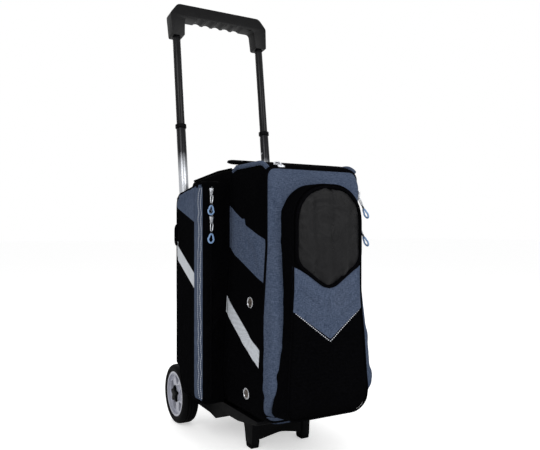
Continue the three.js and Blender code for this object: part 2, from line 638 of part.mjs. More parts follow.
// ---------------------------------------------------------------- carry handle on the roof
const CARRY = {
  nearX: 70, farX: 90, pivotY: 8, padH: 4.9, hem: 4, reach: 70, band: 28, thick: 7, tilt: 8, strap: 1.5,
};
const padTop = BODY_TOP + GAP + CARRY.padH;
const carryPad = (side) => {
  const [low, high] = span(side, CARRY.nearX - 2, CARRY.farX + 2);
  return prismZ(rectangle(low, CARRY.pivotY - 16, high, CARRY.pivotY + 16, 4), BODY_TOP + GAP, padTop);
};
const underStrap = rectangle(-CARRY.nearX, CARRY.pivotY - 14, CARRY.nearX, CARRY.pivotY + 14);
add('carry_strap', join(
  prismZ(underStrap, BODY_TOP + GAP, BODY_TOP + GAP + CARRY.strap),
  carryPad(-1),
  carryPad(1),
), BLACK_FABRIC);
const carryGroup = new THREE.Group();
carryGroup.position.set(0, CARRY.pivotY, padTop + GAP + CARRY.hem);
carryGroup.rotation.x = THREE.MathUtils.degToRad(CARRY.tilt);
bag.add(carryGroup);
add('carry_handle', join(
  cut(
    prismZ(rectangle(-CARRY.farX, 0, CARRY.farX, CARRY.reach, 12), -CARRY.thick / 2, CARRY.thick / 2),
    prismZ(rectangle(-CARRY.nearX, -20, CARRY.nearX, CARRY.reach - CARRY.band, 10), -20, 20),
    slabY(-20, 0.01),
  ),
  ...[-1, 1].map((side) => rod('x', CARRY.hem, ...span(side, CARRY.nearX, CARRY.farX), 0, 0, 20)),
), BLACK_FABRIC, carryGroup);

// ---------------------------------------------------------------- zips, sliders and pulls
const ZIP = { width: 6, thick: 1, low: 110, high: 556 };
const SLIDER = { height: 14, width: 10, depth: 6 };
const PULL = { length: 41, width: 9, thick: 3 };
const PULL_GAP = 1.1; // slider to pull, so that the pull can swing
const SIDE_SLIDERS = [552, 493]; // top of each slider
const DOOR_SLIDERS = [545, 487];
const SIDE_ZIP_X = SIDE_OUT_X - 16;
const DOOR_ZIP_Y = DOOR_SPLIT_Y - GAP - 7;

/** Outlines of a zip's pieces about its centre line at u: the chain, each slider and each pull. */
const zipChain = (u, low) => rectangle(u - ZIP.width / 2, low, u + ZIP.width / 2, ZIP.high);
function zipSlider(u, top) {
  return rectangle(u - SLIDER.width / 2, top - SLIDER.height, u + SLIDER.width / 2, top, 2);
}
function zipPull(u, top) {
  const high = top - SLIDER.height - PULL_GAP;
  return rectangle(u - PULL.width / 2, high - PULL.length, u + PULL.width / 2, high, 2.5);
}

addPair('side_zip', (side) => {
  const back = SIDE_FRONT_Y - GAP;
  const u = side * SIDE_ZIP_X;
  const sliders = SIDE_SLIDERS.map((top) => prismY(zipSlider(u, top), back - SLIDER.depth, back, 2));
  return join(prismY(zipChain(u, ZIP.low), back - ZIP.thick, back), ...sliders);
}, STEEL);
const sidePullY = SIDE_FRONT_Y - GAP - SLIDER.depth / 2;
SIDE_SLIDERS.forEach((top, i) => addPair(`side_pull_${i + 1}`, (side) => (
  prismY(zipPull(side * SIDE_ZIP_X, top), sidePullY - PULL.thick / 2, sidePullY + PULL.thick / 2, 2)
), PULL_BLUE));

const doorZipX = BODY_HALF + GAP;
const doorPullX = doorZipX + SLIDER.depth / 2;
add('door_zip', join(
  prismX(zipChain(DOOR_ZIP_Y, FLARE_TOP_Z + 2), doorZipX, doorZipX + ZIP.thick),
  ...DOOR_SLIDERS.map((top) => prismX(zipSlider(DOOR_ZIP_Y, top), doorZipX, doorZipX + SLIDER.depth, 2)),
), STEEL);
DOOR_SLIDERS.forEach((top, i) => add(
  `door_pull_${i + 1}`,
  prismX(zipPull(DOOR_ZIP_Y, top), doorPullX - PULL.thick / 2, doorPullX + PULL.thick / 2, 2),
  PULL_BLUE,
));

// ---------------------------------------------------------------- origin under the middle of the bag
bag.updateMatrixWorld(true);
const extent = new THREE.Box3().setFromObject(bag, true);
bag.position.y = -(extent.min.y + extent.max.y) / 2;
bag.updateMatrixWorld(true);

export default bag;
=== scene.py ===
"""Rolling bag for two bowling balls: the fabric, trim, hardware, materials and studio.

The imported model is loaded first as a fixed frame. Each class below makes one sub-assembly around it.
Dimensions are in millimetres in the bag's own directions: +Z up, -Y front, and they become metres in at().
"""

import logging
import math
from collections.abc import Callable, Sequence
from dataclasses import dataclass, field
from enum import Enum

import bmesh
import bpy
from mathutils import Matrix, Vector
from mathutils.bvhtree import BVHTree


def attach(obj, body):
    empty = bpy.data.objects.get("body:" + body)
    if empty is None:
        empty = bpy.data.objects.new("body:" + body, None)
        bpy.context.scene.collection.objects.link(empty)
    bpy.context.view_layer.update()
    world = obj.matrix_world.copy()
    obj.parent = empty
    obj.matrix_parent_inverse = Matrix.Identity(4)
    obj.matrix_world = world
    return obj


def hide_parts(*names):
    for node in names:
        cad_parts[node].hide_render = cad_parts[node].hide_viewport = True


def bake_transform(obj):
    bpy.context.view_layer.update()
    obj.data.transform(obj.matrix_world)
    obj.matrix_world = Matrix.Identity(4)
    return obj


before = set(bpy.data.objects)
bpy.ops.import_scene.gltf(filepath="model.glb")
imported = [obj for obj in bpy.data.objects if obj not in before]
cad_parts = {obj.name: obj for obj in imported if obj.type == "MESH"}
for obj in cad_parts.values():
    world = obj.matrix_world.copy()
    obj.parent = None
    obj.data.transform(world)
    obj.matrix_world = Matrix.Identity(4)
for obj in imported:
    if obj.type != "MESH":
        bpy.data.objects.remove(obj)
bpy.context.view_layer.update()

log = logging.getLogger("bag")

Point = tuple[float, float]
Corner = tuple[float, float, float]
Colour = tuple[float, float, float]

SHIFT_Y = -65.35632555  # the bag's front-foot zero to the row frame's zero
GRID = 7.0  # edge length of the fabric meshes
CORNER_STEPS = 8  # straight steps round a corner of an outline
MERGE = 0.00002  # copied corners closer than this, in metres, are one corner
LEAN = math.atan(0.135)  # the telescopic handle's lean

# outer form of the body
BODY_BOTTOM, BODY_TOP = 88.0, 598.0
DOOR_SPLIT = -140.0
BODY_HALF, FLARE, FLARE_TOP, FLARE_LOW, LOW_TUCK = 105.0, 17.0, 430.0, 165.0, 6.0
ROOF_FALL_START, ROOF_FALL_RUN, ROOF_FALL_DROP = 90.0, 152.0, 11.0  # the roof drops towards the rear
BROW_START, BROW_R = -107.0, 50.0  # the roof rounds over into the front
TOE_START, TOE_RISE, TOE_RUN = -112.0, 10.0, 39.0  # the underside lifts in front
ROOF_BLEND = 470.0  # below this height the walls keep their own z
REAR_AT_FLARE = 185.3  # y of the rear face at FLARE_LOW
POCKET_SAG, POCKET_SPREAD, POCKET_LOW_SPREAD = 6.0, 0.055, 0.075
FRONT_PROFILE = [(88, -148), (98, -151), (128, -169), (152, -181), (176, -182), (430, -157), (600, -157)]
POCKET_PROFILE = [(100, -191), (112, -196), (135, -206), (158, -209), (300, -196), (600, -196)]
BODY_OUTLINE = [
    (0, BODY_BOTTOM, 0), (116, BODY_BOTTOM, 36), (122, FLARE_LOW, 40), (BODY_HALF, FLARE_TOP, 0),
    (BODY_HALF, BODY_TOP, 16), (-BODY_HALF, BODY_TOP, 16), (-BODY_HALF, FLARE_TOP, 0), (-122, FLARE_LOW, 40),
    (-116, BODY_BOTTOM, 36),
]
POCKET_OUTLINE = [
    (0, 106, 0), (90, 106, 28), (93, 150, 40), (80, 350, 80), (80, 552, 66),
    (-80, 552, 66), (-80, 350, 80), (-93, 150, 40), (-90, 106, 28),
]
OVAL_OUTLINE = [(0, 398, 0), (34, 398, 8), (60, 428, 30), (60, 537, 54), (-60, 537, 54), (-60, 428, 30), (-34, 398, 8)]
PANEL_OUTLINE = [(0, 353, 30), (70, 402, 36), (70, 542, 61), (-70, 542, 61), (-70, 402, 36)]
SIDE_OUTLINE = [
    (100, 95, 0), (150, 95, 10), (166, 151, 6), (186, 155, 6), (186, 548, 32), (22, 570, 16), (22, 95, 12),
]
SIDE_OUT = 165.0
WHEEL_Y, WHEEL_Z = 232.0, 70.0


class Slot(str, Enum):
    """Material slots of the record."""

    BLACK = "black_fabric"
    BLUE = "blue_fabric"
    PLASTIC = "black_plastic"
    GRIP = "grip_plastic"
    RUBBER = "rubber"
    TYRE = "tyre"
    RIM = "rim_silver"
    STEEL = "steel"
    TUBE = "black_tube"
    FOAM = "foam"
    CORD = "pull_cord"


class Axis(Enum):
    """Directions that a flat outline is laid onto a piece along."""

    FROM_LEFT = (1.0, 0.0, 0.0)
    FROM_FRONT = (0.0, 1.0, 0.0)


# ---------------------------------------------------------------- small geometry helpers
def at(x: float, y: float, z: float) -> Vector:
    """A point of the bag in millimetres as metres in the row frame."""
    return Vector((x, y + SHIFT_Y, z)) / 1000.0


def lerp_table(table: Sequence[Point], u: float) -> float:
    """Straight interpolation in a table of (u, value) rows.

    Args:
        table: Rows in rising order of u.
        u: Where to read the table.

    Returns:
        The value at u, held level outside the table.
    """
    if u <= table[0][0]:
        return table[0][1]
    for (u0, v0), (u1, v1) in zip(table, table[1:]):
        if u <= u1:
            return v0 + (v1 - v0) * (u - u0) / (u1 - u0)
    return table[-1][1]


def half_width(z: float) -> float:
    """Half width of the body at a height, in millimetres."""
    down = min(max((FLARE_TOP - z) / (FLARE_TOP - FLARE_LOW), 0.0), 1.0)
    return BODY_HALF + FLARE * down - LOW_TUCK * max((FLARE_LOW - z) / (FLARE_LOW - BODY_BOTTOM), 0.0)


def back_y(z: float) -> float:
    """Rear face of the body at a height."""
    return REAR_AT_FLARE + (z - FLARE_LOW) * math.tan(LEAN)


def front_y(z: float) -> float:
    """Front face of the door at a height."""
    return lerp_table(FRONT_PROFILE, z)


def pocket_y(z: float) -> float:
    """Front face of the front pocket at a height."""
    return lerp_table(POCKET_PROFILE, z)


def smooth(low: float, high: float, value: float) -> float:
    """A soft step from 0 at low to 1 at high."""
    t = min(max((value - low) / (high - low), 0.0), 1.0)
    return t * t * (3 - 2 * t)


def rounded_ring(corners: Sequence[Corner], spacing: float = GRID) -> list[Vector]:
    """Evenly spaced points along a closed outline.

    Args:
        corners: (u, v, radius) in counter-clockwise order.
        spacing: Wished distance between points.

    Returns:
        The points, starting at the first corner.
    """
    points: list[Vector] = []
    for i, (u, v, radius) in enumerate(corners):
        here = Vector((u, v))
        back = (Vector(corners[i - 1][:2]) - here).normalized()
        on = (Vector(corners[(i + 1) % len(corners)][:2]) - here).normalized()
        half = math.acos(max(-1.0, min(1.0, back.dot(on)))) / 2
        if radius <= 0 or half > math.pi / 2 - 0.01:
            points.append(here)
            continue
        centre = here + (back + on).normalized() * radius / math.sin(half)
        arm = here + back * radius / math.tan(half) - centre
        last = here + on * radius / math.tan(half) - centre
        sweep = math.atan2(arm.x * last.y - arm.y * last.x, arm.dot(last))
        for k in range(CORNER_STEPS + 1):
            c, s = math.cos(sweep * k / CORNER_STEPS), math.sin(sweep * k / CORNER_STEPS)
            points.append(centre + Vector((arm.x * c - arm.y * s, arm.x * s + arm.y * c)))
    lengths = [(points[(i + 1) % len(points)] - p).length for i, p in enumerate(points)]
    total = sum(lengths)
    count = max(8, round(total / spacing))
    ring, i, passed = [], 0, 0.0
    for k in range(count):
        goal = total * k / count
        while passed + lengths[i] < goal:
            passed += lengths[i]
            i += 1
        share = (goal - passed) / lengths[i] if lengths[i] else 0.0
        ring.append(points[i].lerp(points[(i + 1) % len(points)], share))
    return ring


def inward(ring: Sequence[Vector], distance: float) -> list[Vector]:
    """The ring moved inwards along its own normals.

    Args:
        ring: A closed ring in counter-clockwise order.
        distance: How far it moves, in millimetres.

    Returns:
        The moved ring, point by point.
    """
    moved = []
    for i, p in enumerate(ring):
        d = (ring[(i + 1) % len(ring)] - ring[i - 1]).normalized()
        moved.append(p + Vector((-d.y, d.x)) * distance)
    return moved


def inside(outline: Sequence[Vector], u: float, v: float) -> bool:
    """Whether (u, v) is inside a closed outline.

    Args:
        outline: The outline's points.
        u: First coordinate.
        v: Second coordinate.

    Returns:
        True inside.
    """
    found = False
    for i, p in enumerate(outline):
        q = outline[i - 1]
        if (p.y > v) != (q.y > v) and u < (q.x - p.x) * (v - p.y) / (q.y - p.y) + p.x:
            found = not found
    return found


def deselect() -> None:
    """Clears the selection before an operator runs."""
    for obj in bpy.context.selected_objects:
        obj.select_set(False)


def only(obj: bpy.types.Object) -> bpy.types.Object:
    """Selects obj alone and makes it active.

    Args:
        obj: The object.

    Returns:
        The same object.
    """
    deselect()
    bpy.context.view_layer.objects.active = obj
    obj.select_set(True)
    return obj


def from_bmesh(bm: bmesh.types.BMesh, name: str) -> bpy.types.Object:
    """Moves a bmesh into a new object at the origin.

    Args:
        bm: The mesh data, freed afterwards.
        name: The new piece's name.

    Returns:
        The new piece.
    """
    mesh = bpy.data.meshes.new(name)
    bm.to_mesh(mesh)
    bm.free()
    obj = bpy.data.objects.new(name, mesh)
    bpy.context.scene.collection.objects.link(obj)
    return obj


def apply_modifier(obj: bpy.types.Object, kind: str, **settings: object) -> None:
    """Adds one modifier with its settings and applies it.

    Args:
        obj: The piece.
        kind: The modifier's type.
        settings: Its properties.
    """
    only(obj)
    modifier = obj.modifiers.new(kind.lower(), kind)
    for key, value in settings.items():
        setattr(modifier, key, value)
    bpy.ops.object.modifier_apply(modifier=modifier.name)


def shade(obj: bpy.types.Object, angle: float = 40.0) -> bpy.types.Object:
    """Smooth shading up to an angle between faces.

    Args:
        obj: The piece.
        angle: In degrees.

    Returns:
        The same piece.
    """
    only(obj)
    bpy.ops.object.shade_smooth_by_angle(angle=math.radians(angle))
    return obj


def copy_node(node: str, name: str) -> bpy.types.Object:
    """A merged copy of a CAD node's mesh as a new piece at the origin.

    Args:
        node: The CAD node.
        name: The copy's name.

    Returns:
        The copy.
    """
    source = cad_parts[node]
    obj = bpy.data.objects.new(name, source.data.copy())
    bpy.context.scene.collection.objects.link(obj)
    obj.data.materials.clear()
    only(obj)
    bpy.ops.object.mode_set(mode="EDIT")
    bpy.ops.mesh.select_all(action="SELECT")
    bpy.ops.mesh.remove_doubles(threshold=MERGE)
    bpy.ops.mesh.tris_convert_to_quads(face_threshold=0.01, shape_threshold=0.7)
    bpy.ops.mesh.dissolve_limited(angle_limit=math.radians(0.5))
    bpy.ops.object.mode_set(mode="OBJECT")
    return obj


def mirrored(obj: bpy.types.Object, name: str) -> bpy.types.Object:
    """A copy of a left piece for the right side, with its faces turned back outwards.

    Args:
        obj: The left piece.
        name: The copy's name.

    Returns:
        The right piece.
    """
    twin = bpy.data.objects.new(name, obj.data.copy())
    bpy.context.scene.collection.objects.link(twin)
    twin.data.transform(Matrix.Scale(-1, 4, (1, 0, 0)))
    twin.data.flip_normals()
    return twin


def joined(parts: Sequence[bpy.types.Object], name: str) -> bpy.types.Object:
    """Joins pieces into the first one.

    Args:
        parts: The pieces.
        name: The name of the joined piece.

    Returns:
        The joined piece.
    """
    only(parts[0])
    for part in parts:
        part.select_set(True)
    bpy.ops.object.join()
    parts[0].name = name
    parts[0].data.name = name
    return parts[0]


# ---------------------------------------------------------------- node groups and finishes
class Nodes:
    """A short way to write a node tree."""

    def __init__(self, tree: bpy.types.NodeTree) -> None:
        """Keeps the tree that nodes are added to."""
        self.tree = tree

    def new(self, kind: str, settings: dict[str, object] | None = None, **inputs: object) -> bpy.types.Node:
        """Adds a node.

        Args:
            kind: The node's type without its ShaderNode prefix.
            settings: Properties of the node itself.
            inputs: Socket values or output sockets; a name like _1 is a socket's number, and a space is _.

        Returns:
            The new node.
        """
        node = self.tree.nodes.new("ShaderNode" + kind)
        for key, value in (settings or {}).items():
            setattr(node, key, value)
        for key, value in inputs.items():
            socket = node.inputs[int(key[1:])] if key[1:].isdigit() else node.inputs[key.replace("_", " ")]
            if isinstance(value, bpy.types.NodeSocket):
                self.tree.links.new(value, socket)
            else:
                socket.default_value = value
        return node

    def math(self, operation: str, a: object, b: object = 0.0) -> bpy.types.NodeSocket:
        """One Math node's output."""
        return self.new("Math", {"operation": operation}, _0=a, _1=b).outputs[0]

    def mix(self, factor: object, a: object, b: object) -> bpy.types.NodeSocket:
        """One colour mix."""
        node = self.new("Mix", {"data_type": "RGBA"}, _0=factor, _6=a, _7=b)
        return node.outputs[2]


def node_group(
    name: str, inputs: dict[str, tuple[str, object]], outputs: dict[str, str],
) -> tuple[Nodes, bpy.types.Node, bpy.types.Node]:
    """Starts a shared shader node group.

    Args:
        name: The group's name.
        inputs: Socket name to its type and default.
        outputs: Socket name to its type.

    Returns:
        The nodes, the group's input node and its output node.
    """
    tree = bpy.data.node_groups.new(name, "ShaderNodeTree")
    for label, (kind, default) in inputs.items():
        socket = tree.interface.new_socket(name=label, in_out="INPUT", socket_type="NodeSocket" + kind)
        if default is not None:
            socket.default_value = default
    for label, kind in outputs.items():
        tree.interface.new_socket(name=label, in_out="OUTPUT", socket_type="NodeSocket" + kind)
    return Nodes(tree), tree.nodes.new("NodeGroupInput"), tree.nodes.new("NodeGroupOutput")


def weave_group() -> bpy.types.NodeTree:
    """Woven cloth: crossing threads with lighter and darker yarns mixed in, and painted shade in the valleys between
    the threads.

    Returns:
        The group's tree.
    """
    nodes, source, result = node_group(
        "woven cloth",
        {
            "Vector": ("Vector", None), "Thread": ("Float", 1400.0), "Base": ("Color", (0.1, 0.1, 0.1, 1)),
            "Fleck": ("Color", (0.2, 0.2, 0.2, 1)), "Heather": ("Float", 0.5), "Fade": ("Float", 0.1),
        },
        {"Color": "Color", "Height": "Float"},
    )
    scaled = nodes.new(
        "VectorMath", {"operation": "SCALE"}, _0=source.outputs["Vector"], Scale=source.outputs["Thread"])
    split = nodes.new("SeparateXYZ", None, _0=scaled.outputs[0])
    waves = [nodes.math("SINE", split.outputs[i]) for i in range(3)]
    pairs = [nodes.math("ABSOLUTE", nodes.math("MULTIPLY", waves[a], waves[b])) for a, b in ((0, 1), (1, 2), (0, 2))]
    height = nodes.math("MAXIMUM", nodes.math("MAXIMUM", pairs[0], pairs[1]), pairs[2])
    stretched = nodes.new("Mapping", None, Vector=source.outputs["Vector"], Scale=(1.0, 1.0, 0.16))
    yarn = nodes.new("TexNoise", None, Vector=stretched.outputs[0], Scale=900.0, Detail=3.0)
    cross = nodes.new("Mapping", None, Vector=source.outputs["Vector"], Scale=(0.2, 0.2, 1.0))
    weft = nodes.new("TexNoise", None, Vector=cross.outputs[0], Scale=760.0, Detail=2.0)
    mottle = nodes.math("MULTIPLY", nodes.math("ADD", yarn.outputs[0], weft.outputs[0]), 0.5)
    spread = nodes.new("MapRange", None, Value=mottle, From_Min=0.38, From_Max=0.62)
    heather = nodes.math("MULTIPLY", spread.outputs[0], source.outputs["Heather"])
    coloured = nodes.mix(heather, source.outputs["Base"], source.outputs["Fleck"])
    broad = nodes.new("TexNoise", None, Vector=source.outputs["Vector"], Scale=9.0, Detail=4.0)
    faded = nodes.math("MULTIPLY", nodes.math("SUBTRACT", broad.outputs[0], 0.35), source.outputs["Fade"])
    worn = nodes.mix(faded, coloured, (0.5, 0.5, 0.52, 1))
    # painted shade: the colour darkens where the thread relief is low, in the valleys between the threads
    dark = nodes.math("MULTIPLY_ADD", height, 0.35)
    dark.node.inputs[2].default_value = 0.72
    shaded = nodes.new("Mix", {"data_type": "RGBA", "blend_type": "MULTIPLY"}, _0=1.0, _6=worn, _7=dark)
    nodes.tree.links.new(shaded.outputs[2], result.inputs["Color"])
    nodes.tree.links.new(height, result.inputs["Height"])
    return nodes.tree


def surface_group() -> bpy.types.NodeTree:
    """Moulded or drawn surfaces: fine grain, rubbed edges and a little dust.

    Returns:
        The group's tree.
    """
    nodes, source, result = node_group(
        "grain and wear",
        {
            "Vector": ("Vector", None), "Base": ("Color", (0.02, 0.02, 0.02, 1)),
            "Rubbed": ("Color", (0.1, 0.1, 0.1, 1)), "Grain Scale": ("Float", 1200.0),
            "Roughness": ("Float", 0.5), "Wear": ("Float", 0.3), "Dust": ("Float", 0.05),
        },
        {"Color": "Color", "Roughness": "Float", "Height": "Float"},
    )
    grain = nodes.new("TexVoronoi", None, Vector=source.outputs["Vector"], Scale=source.outputs["Grain Scale"])
    cloud = nodes.new("TexNoise", None, Vector=source.outputs["Vector"], Scale=38.0, Detail=5.0)
    edge = nodes.new("NewGeometry")
    sharp = nodes.new("MapRange", None, Value=edge.outputs["Pointiness"], From_Min=0.51, From_Max=0.6)
    rubbed = nodes.math("MULTIPLY", nodes.math("MULTIPLY", sharp.outputs[0], cloud.outputs[0]), source.outputs["Wear"])
    coloured = nodes.mix(rubbed, source.outputs["Base"], source.outputs["Rubbed"])
    dust = nodes.math("MULTIPLY", nodes.math("SUBTRACT", cloud.outputs[0], 0.3), source.outputs["Dust"])
    dusted = nodes.mix(dust, coloured, (0.42, 0.41, 0.39, 1))
    spread = nodes.math("MULTIPLY_ADD", cloud.outputs[0], 0.22)
    spread.node.inputs[2].default_value = -0.11
    rough = nodes.math("ADD", spread, source.outputs["Roughness"])
    nodes.tree.links.new(dusted, result.inputs["Color"])
    nodes.tree.links.new(rough, result.inputs["Roughness"])
    nodes.tree.links.new(grain.outputs["Distance"], result.inputs["Height"])
    return nodes.tree


@dataclass(frozen=True)
class Cloth:
    """A woven fabric finish."""

    name: str
    base: Colour
    fleck: Colour
    heather: float = 0.5
    thread: float = 5200.0
    roughness: float = 0.88
    sheen: float = 0.15
    bump: float = 0.35
    fade: float = 0.06
    specular: float = 0.2
    ior: float = 1.45
    crease_scale: float = 19.0
    crease_strength: float = 0.34

    def material(self) -> bpy.types.Material:
        """The finish as a material, made once.

        Returns:
            The material.
        """
        found = bpy.data.materials.get(self.name)
        if found:
            return found
        made = bpy.data.materials.new(self.name)
        made.use_nodes = True
        nodes = Nodes(made.node_tree)
        shader = made.node_tree.nodes["Principled BSDF"]
        place = nodes.new("TexCoord").outputs["Object"]
        weave = made.node_tree.nodes.new("ShaderNodeGroup")
        weave.node_tree = bpy.data.node_groups.get("woven cloth") or weave_group()
        made.node_tree.links.new(place, weave.inputs["Vector"])
        weave.inputs["Thread"].default_value = self.thread
        weave.inputs["Base"].default_value = (*self.base, 1)
        weave.inputs["Fleck"].default_value = (*self.fleck, 1)
        weave.inputs["Heather"].default_value = self.heather
        weave.inputs["Fade"].default_value = self.fade
        creases = nodes.new("TexNoise", None, Vector=place, Scale=self.crease_scale, Detail=4.0, Distortion=1.4)
        soft = nodes.new("Bump", None, Strength=self.crease_strength, Distance=0.012, Height=creases.outputs[0])
        bump = nodes.new(
            "Bump", None, Strength=self.bump, Distance=0.0004, Height=weave.outputs["Height"], Normal=soft.outputs[0])
        made.node_tree.links.new(weave.outputs["Color"], shader.inputs["Base Color"])
        made.node_tree.links.new(bump.outputs[0], shader.inputs["Normal"])
        shader.inputs["Roughness"].default_value = self.roughness
        shader.inputs["Sheen Weight"].default_value = self.sheen
        shader.inputs["Sheen Roughness"].default_value = 0.4
        shader.inputs["Specular IOR Level"].default_value = self.specular
        shader.inputs["IOR"].default_value = self.ior
        return made


@dataclass(frozen=True)
class Hard:
    """A moulded, painted or metal finish."""

    name: str
    base: Colour
    rubbed: Colour
    roughness: float = 0.45
    metallic: float = 0.0
    grain: float = 1500.0
    bump: float = 0.12
    wear: float = 0.35
    dust: float = 0.03
    coat: float = 0.0
    specular: float = 0.5
    ior: float = 1.45

    def material(self) -> bpy.types.Material:
        """The finish as a material, made once.

        Returns:
            The material.
        """
        found = bpy.data.materials.get(self.name)
        if found:
            return found
        made = bpy.data.materials.new(self.name)
        made.use_nodes = True
        nodes = Nodes(made.node_tree)
        shader = made.node_tree.nodes["Principled BSDF"]
        surface = made.node_tree.nodes.new("ShaderNodeGroup")
        surface.node_tree = bpy.data.node_groups.get("grain and wear") or surface_group()
        made.node_tree.links.new(nodes.new("TexCoord").outputs["Object"], surface.inputs["Vector"])
        surface.inputs["Base"].default_value = (*self.base, 1)
        surface.inputs["Rubbed"].default_value = (*self.rubbed, 1)
        surface.inputs["Grain Scale"].default_value = self.grain
        surface.inputs["Roughness"].default_value = self.roughness
        surface.inputs["Wear"].default_value = self.wear
        surface.inputs["Dust"].default_value = self.dust
        bump = nodes.new("Bump", None, Strength=self.bump, Distance=0.0003, Height=surface.outputs["Height"])
        made.node_tree.links.new(surface.outputs["Color"], shader.inputs["Base Color"])
        made.node_tree.links.new(surface.outputs["Roughness"], shader.inputs["Roughness"])
        made.node_tree.links.new(bump.outputs[0], shader.inputs["Normal"])
        shader.inputs["Metallic"].default_value = self.metallic
        shader.inputs["Coat Weight"].default_value = self.coat
        shader.inputs["Specular IOR Level"].default_value = self.specular
        shader.inputs["IOR"].default_value = self.ior
        return made


@dataclass(frozen=True)
class ReflectionPaintedTube:
    """The lower tubes: black above and pale below, a painted reflection."""

    name: str = "black tube worn to aluminium"
    dark: Colour = (0.006, 0.006, 0.008)
    # painted reflection: the pale colour of the tube's lower end
    painted_reflection: Colour = (0.62, 0.64, 0.68)
    high: float = 0.668
    low: float = 0.612

    def material(self) -> bpy.types.Material:
        """The finish as a material, made once.

        Returns:
            The material.
        """
        found = bpy.data.materials.get(self.name)
        if found:
            return found
        made = bpy.data.materials.new(self.name)
        made.use_nodes = True
        nodes = Nodes(made.node_tree)
        shader = made.node_tree.nodes["Principled BSDF"]
        place = nodes.new("TexCoord").outputs["Object"]
        height = nodes.new("SeparateXYZ", None, _0=place).outputs[2]
        drawn = nodes.new("Mapping", None, Vector=place, Scale=(1.0, 1.0, 0.02))
        streaks = nodes.new("TexNoise", None, Vector=drawn.outputs[0], Scale=420.0, Detail=4.0)
        ragged = nodes.math("MULTIPLY_ADD", streaks.outputs[0], 0.02)
        nodes.tree.links.new(height, ragged.node.inputs[2])
        # painted reflection: the tube turns from black to pale towards its lower end
        share = nodes.new("MapRange", None, Value=ragged, From_Min=self.high, From_Max=self.low).outputs[0]
        colour = nodes.mix(share, (*self.dark, 1), (*self.painted_reflection, 1))
        rough = nodes.math("MULTIPLY_ADD", streaks.outputs[0], 0.2)
        rough.node.inputs[2].default_value = 0.18
        bump = nodes.new("Bump", None, Strength=0.08, Distance=0.0002, Height=streaks.outputs[0])
        made.node_tree.links.new(colour, shader.inputs["Base Color"])
        made.node_tree.links.new(rough, shader.inputs["Roughness"])
        made.node_tree.links.new(bump.outputs[0], shader.inputs["Normal"])
        shader.inputs["Metallic"].default_value = 0.55
        return made


BLACK = Cloth(
    "black woven polyester", (0.0010, 0.0010, 0.0013), (0.0032, 0.0032, 0.0040), 0.6,
    sheen=0.0, specular=0.05, fade=0.002, ior=1.12,
)
BLACK_PANEL = Cloth(
    "black panel with sheen", (0.0020, 0.0020, 0.0026), (0.0060, 0.0060, 0.0075), 0.5,
    roughness=0.36, sheen=0.0, specular=0.4, fade=0.004, ior=1.32,
)
BLUE = Cloth(
    "heathered blue polyester", (0.034, 0.049, 0.086), (0.098, 0.128, 0.196), 0.75,
    sheen=0.02, specular=0.08, ior=1.3,
)
WEBBING = Cloth(
    "black webbing", (0.0010, 0.0010, 0.0013), (0.0040, 0.0040, 0.0052), 0.5,
    thread=2600.0, bump=0.7, sheen=0.0, specular=0.06, fade=0.002, ior=1.15,
)
REFLECTIVE = Cloth(
    "silver reflective tape", (0.50, 0.53, 0.57), (0.70, 0.73, 0.77), 0.5, roughness=0.38, sheen=0.0, bump=0.12,
)
THREAD = Cloth("pale thread", (0.75, 0.78, 0.84), (0.85, 0.88, 0.92), 0.3, thread=9000.0)
CORD_BLACK = Cloth(
    "black braided cord", (0.008, 0.008, 0.010), (0.03, 0.03, 0.035), 0.5, thread=4200.0, bump=0.6,
)
FOAM = Cloth("grey foam", (0.02, 0.02, 0.022), (0.05, 0.05, 0.055), 0.6, thread=2200.0)
PULL_BLUE = Hard("light blue soft pull", (0.20, 0.33, 0.55), (0.4, 0.52, 0.7), 0.4, wear=0.2)
PLASTIC = Hard(
    "black moulded plastic", (0.0010, 0.0010, 0.0013), (0.010, 0.010, 0.012), 0.5,
    specular=0.12, dust=0.002, ior=1.3,
)
GRIP_PLASTIC = Hard(
    "black grip plastic", (0.0015, 0.0015, 0.002), (0.015, 0.015, 0.018), 0.36,
    grain=900.0, bump=0.2, specular=0.22, dust=0.003,
)
TUBE = Hard(
    "black anodised tube", (0.0015, 0.0015, 0.002), (0.05, 0.05, 0.055), 0.28,
    bump=0.03, specular=0.22, dust=0.002,
)
RUBBER = Hard(
    "black rubber", (0.0015, 0.0015, 0.002), (0.012, 0.012, 0.012), 0.75,
    grain=700.0, dust=0.008, specular=0.1, ior=1.25,
)
TYRE = Hard(
    "tyre rubber", (0.0015, 0.0015, 0.002), (0.012, 0.012, 0.012), 0.66,
    grain=500.0, dust=0.008, specular=0.12, ior=1.3,
)
RIM = Hard(
    "silver wheel paint", (0.44, 0.45, 0.52), (0.3, 0.3, 0.33), 0.3, metallic=0.25, bump=0.03, coat=0.4,
)
STEEL = Hard("bright steel", (0.60, 0.61, 0.64), (0.8, 0.8, 0.82), 0.25, metallic=1.0, bump=0.04)
ZIP_METAL = Hard(
    "silver zip metal", (0.62, 0.64, 0.68), (0.8, 0.8, 0.82), 0.3, metallic=0.85, bump=0.05,
)
SCREW_DARK = Hard(
    "screw recess", (0.050, 0.036, 0.026), (0.25, 0.2, 0.16), 0.45, metallic=0.6,
)


def dress(obj: bpy.types.Object, finish: Cloth | Hard | ReflectionPaintedTube, slot: Slot | None, body: str) -> bpy.types.Object:
    """Gives a piece its finish and makes it ride on a body.

    Args:
        obj: The piece, at the origin.
        finish: Its finish.
        slot: The record's slot that its finish comes from, if it has one; not used.
        body: The CAD body that it moves with.

    Returns:
        The same piece.
    """
    obj.data.materials.clear()
    obj.data.materials.append(finish.material())
    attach(obj, body)
    log.info("%s rides on %s, %d faces", obj.name, body, len(obj.data.polygons))
    return obj


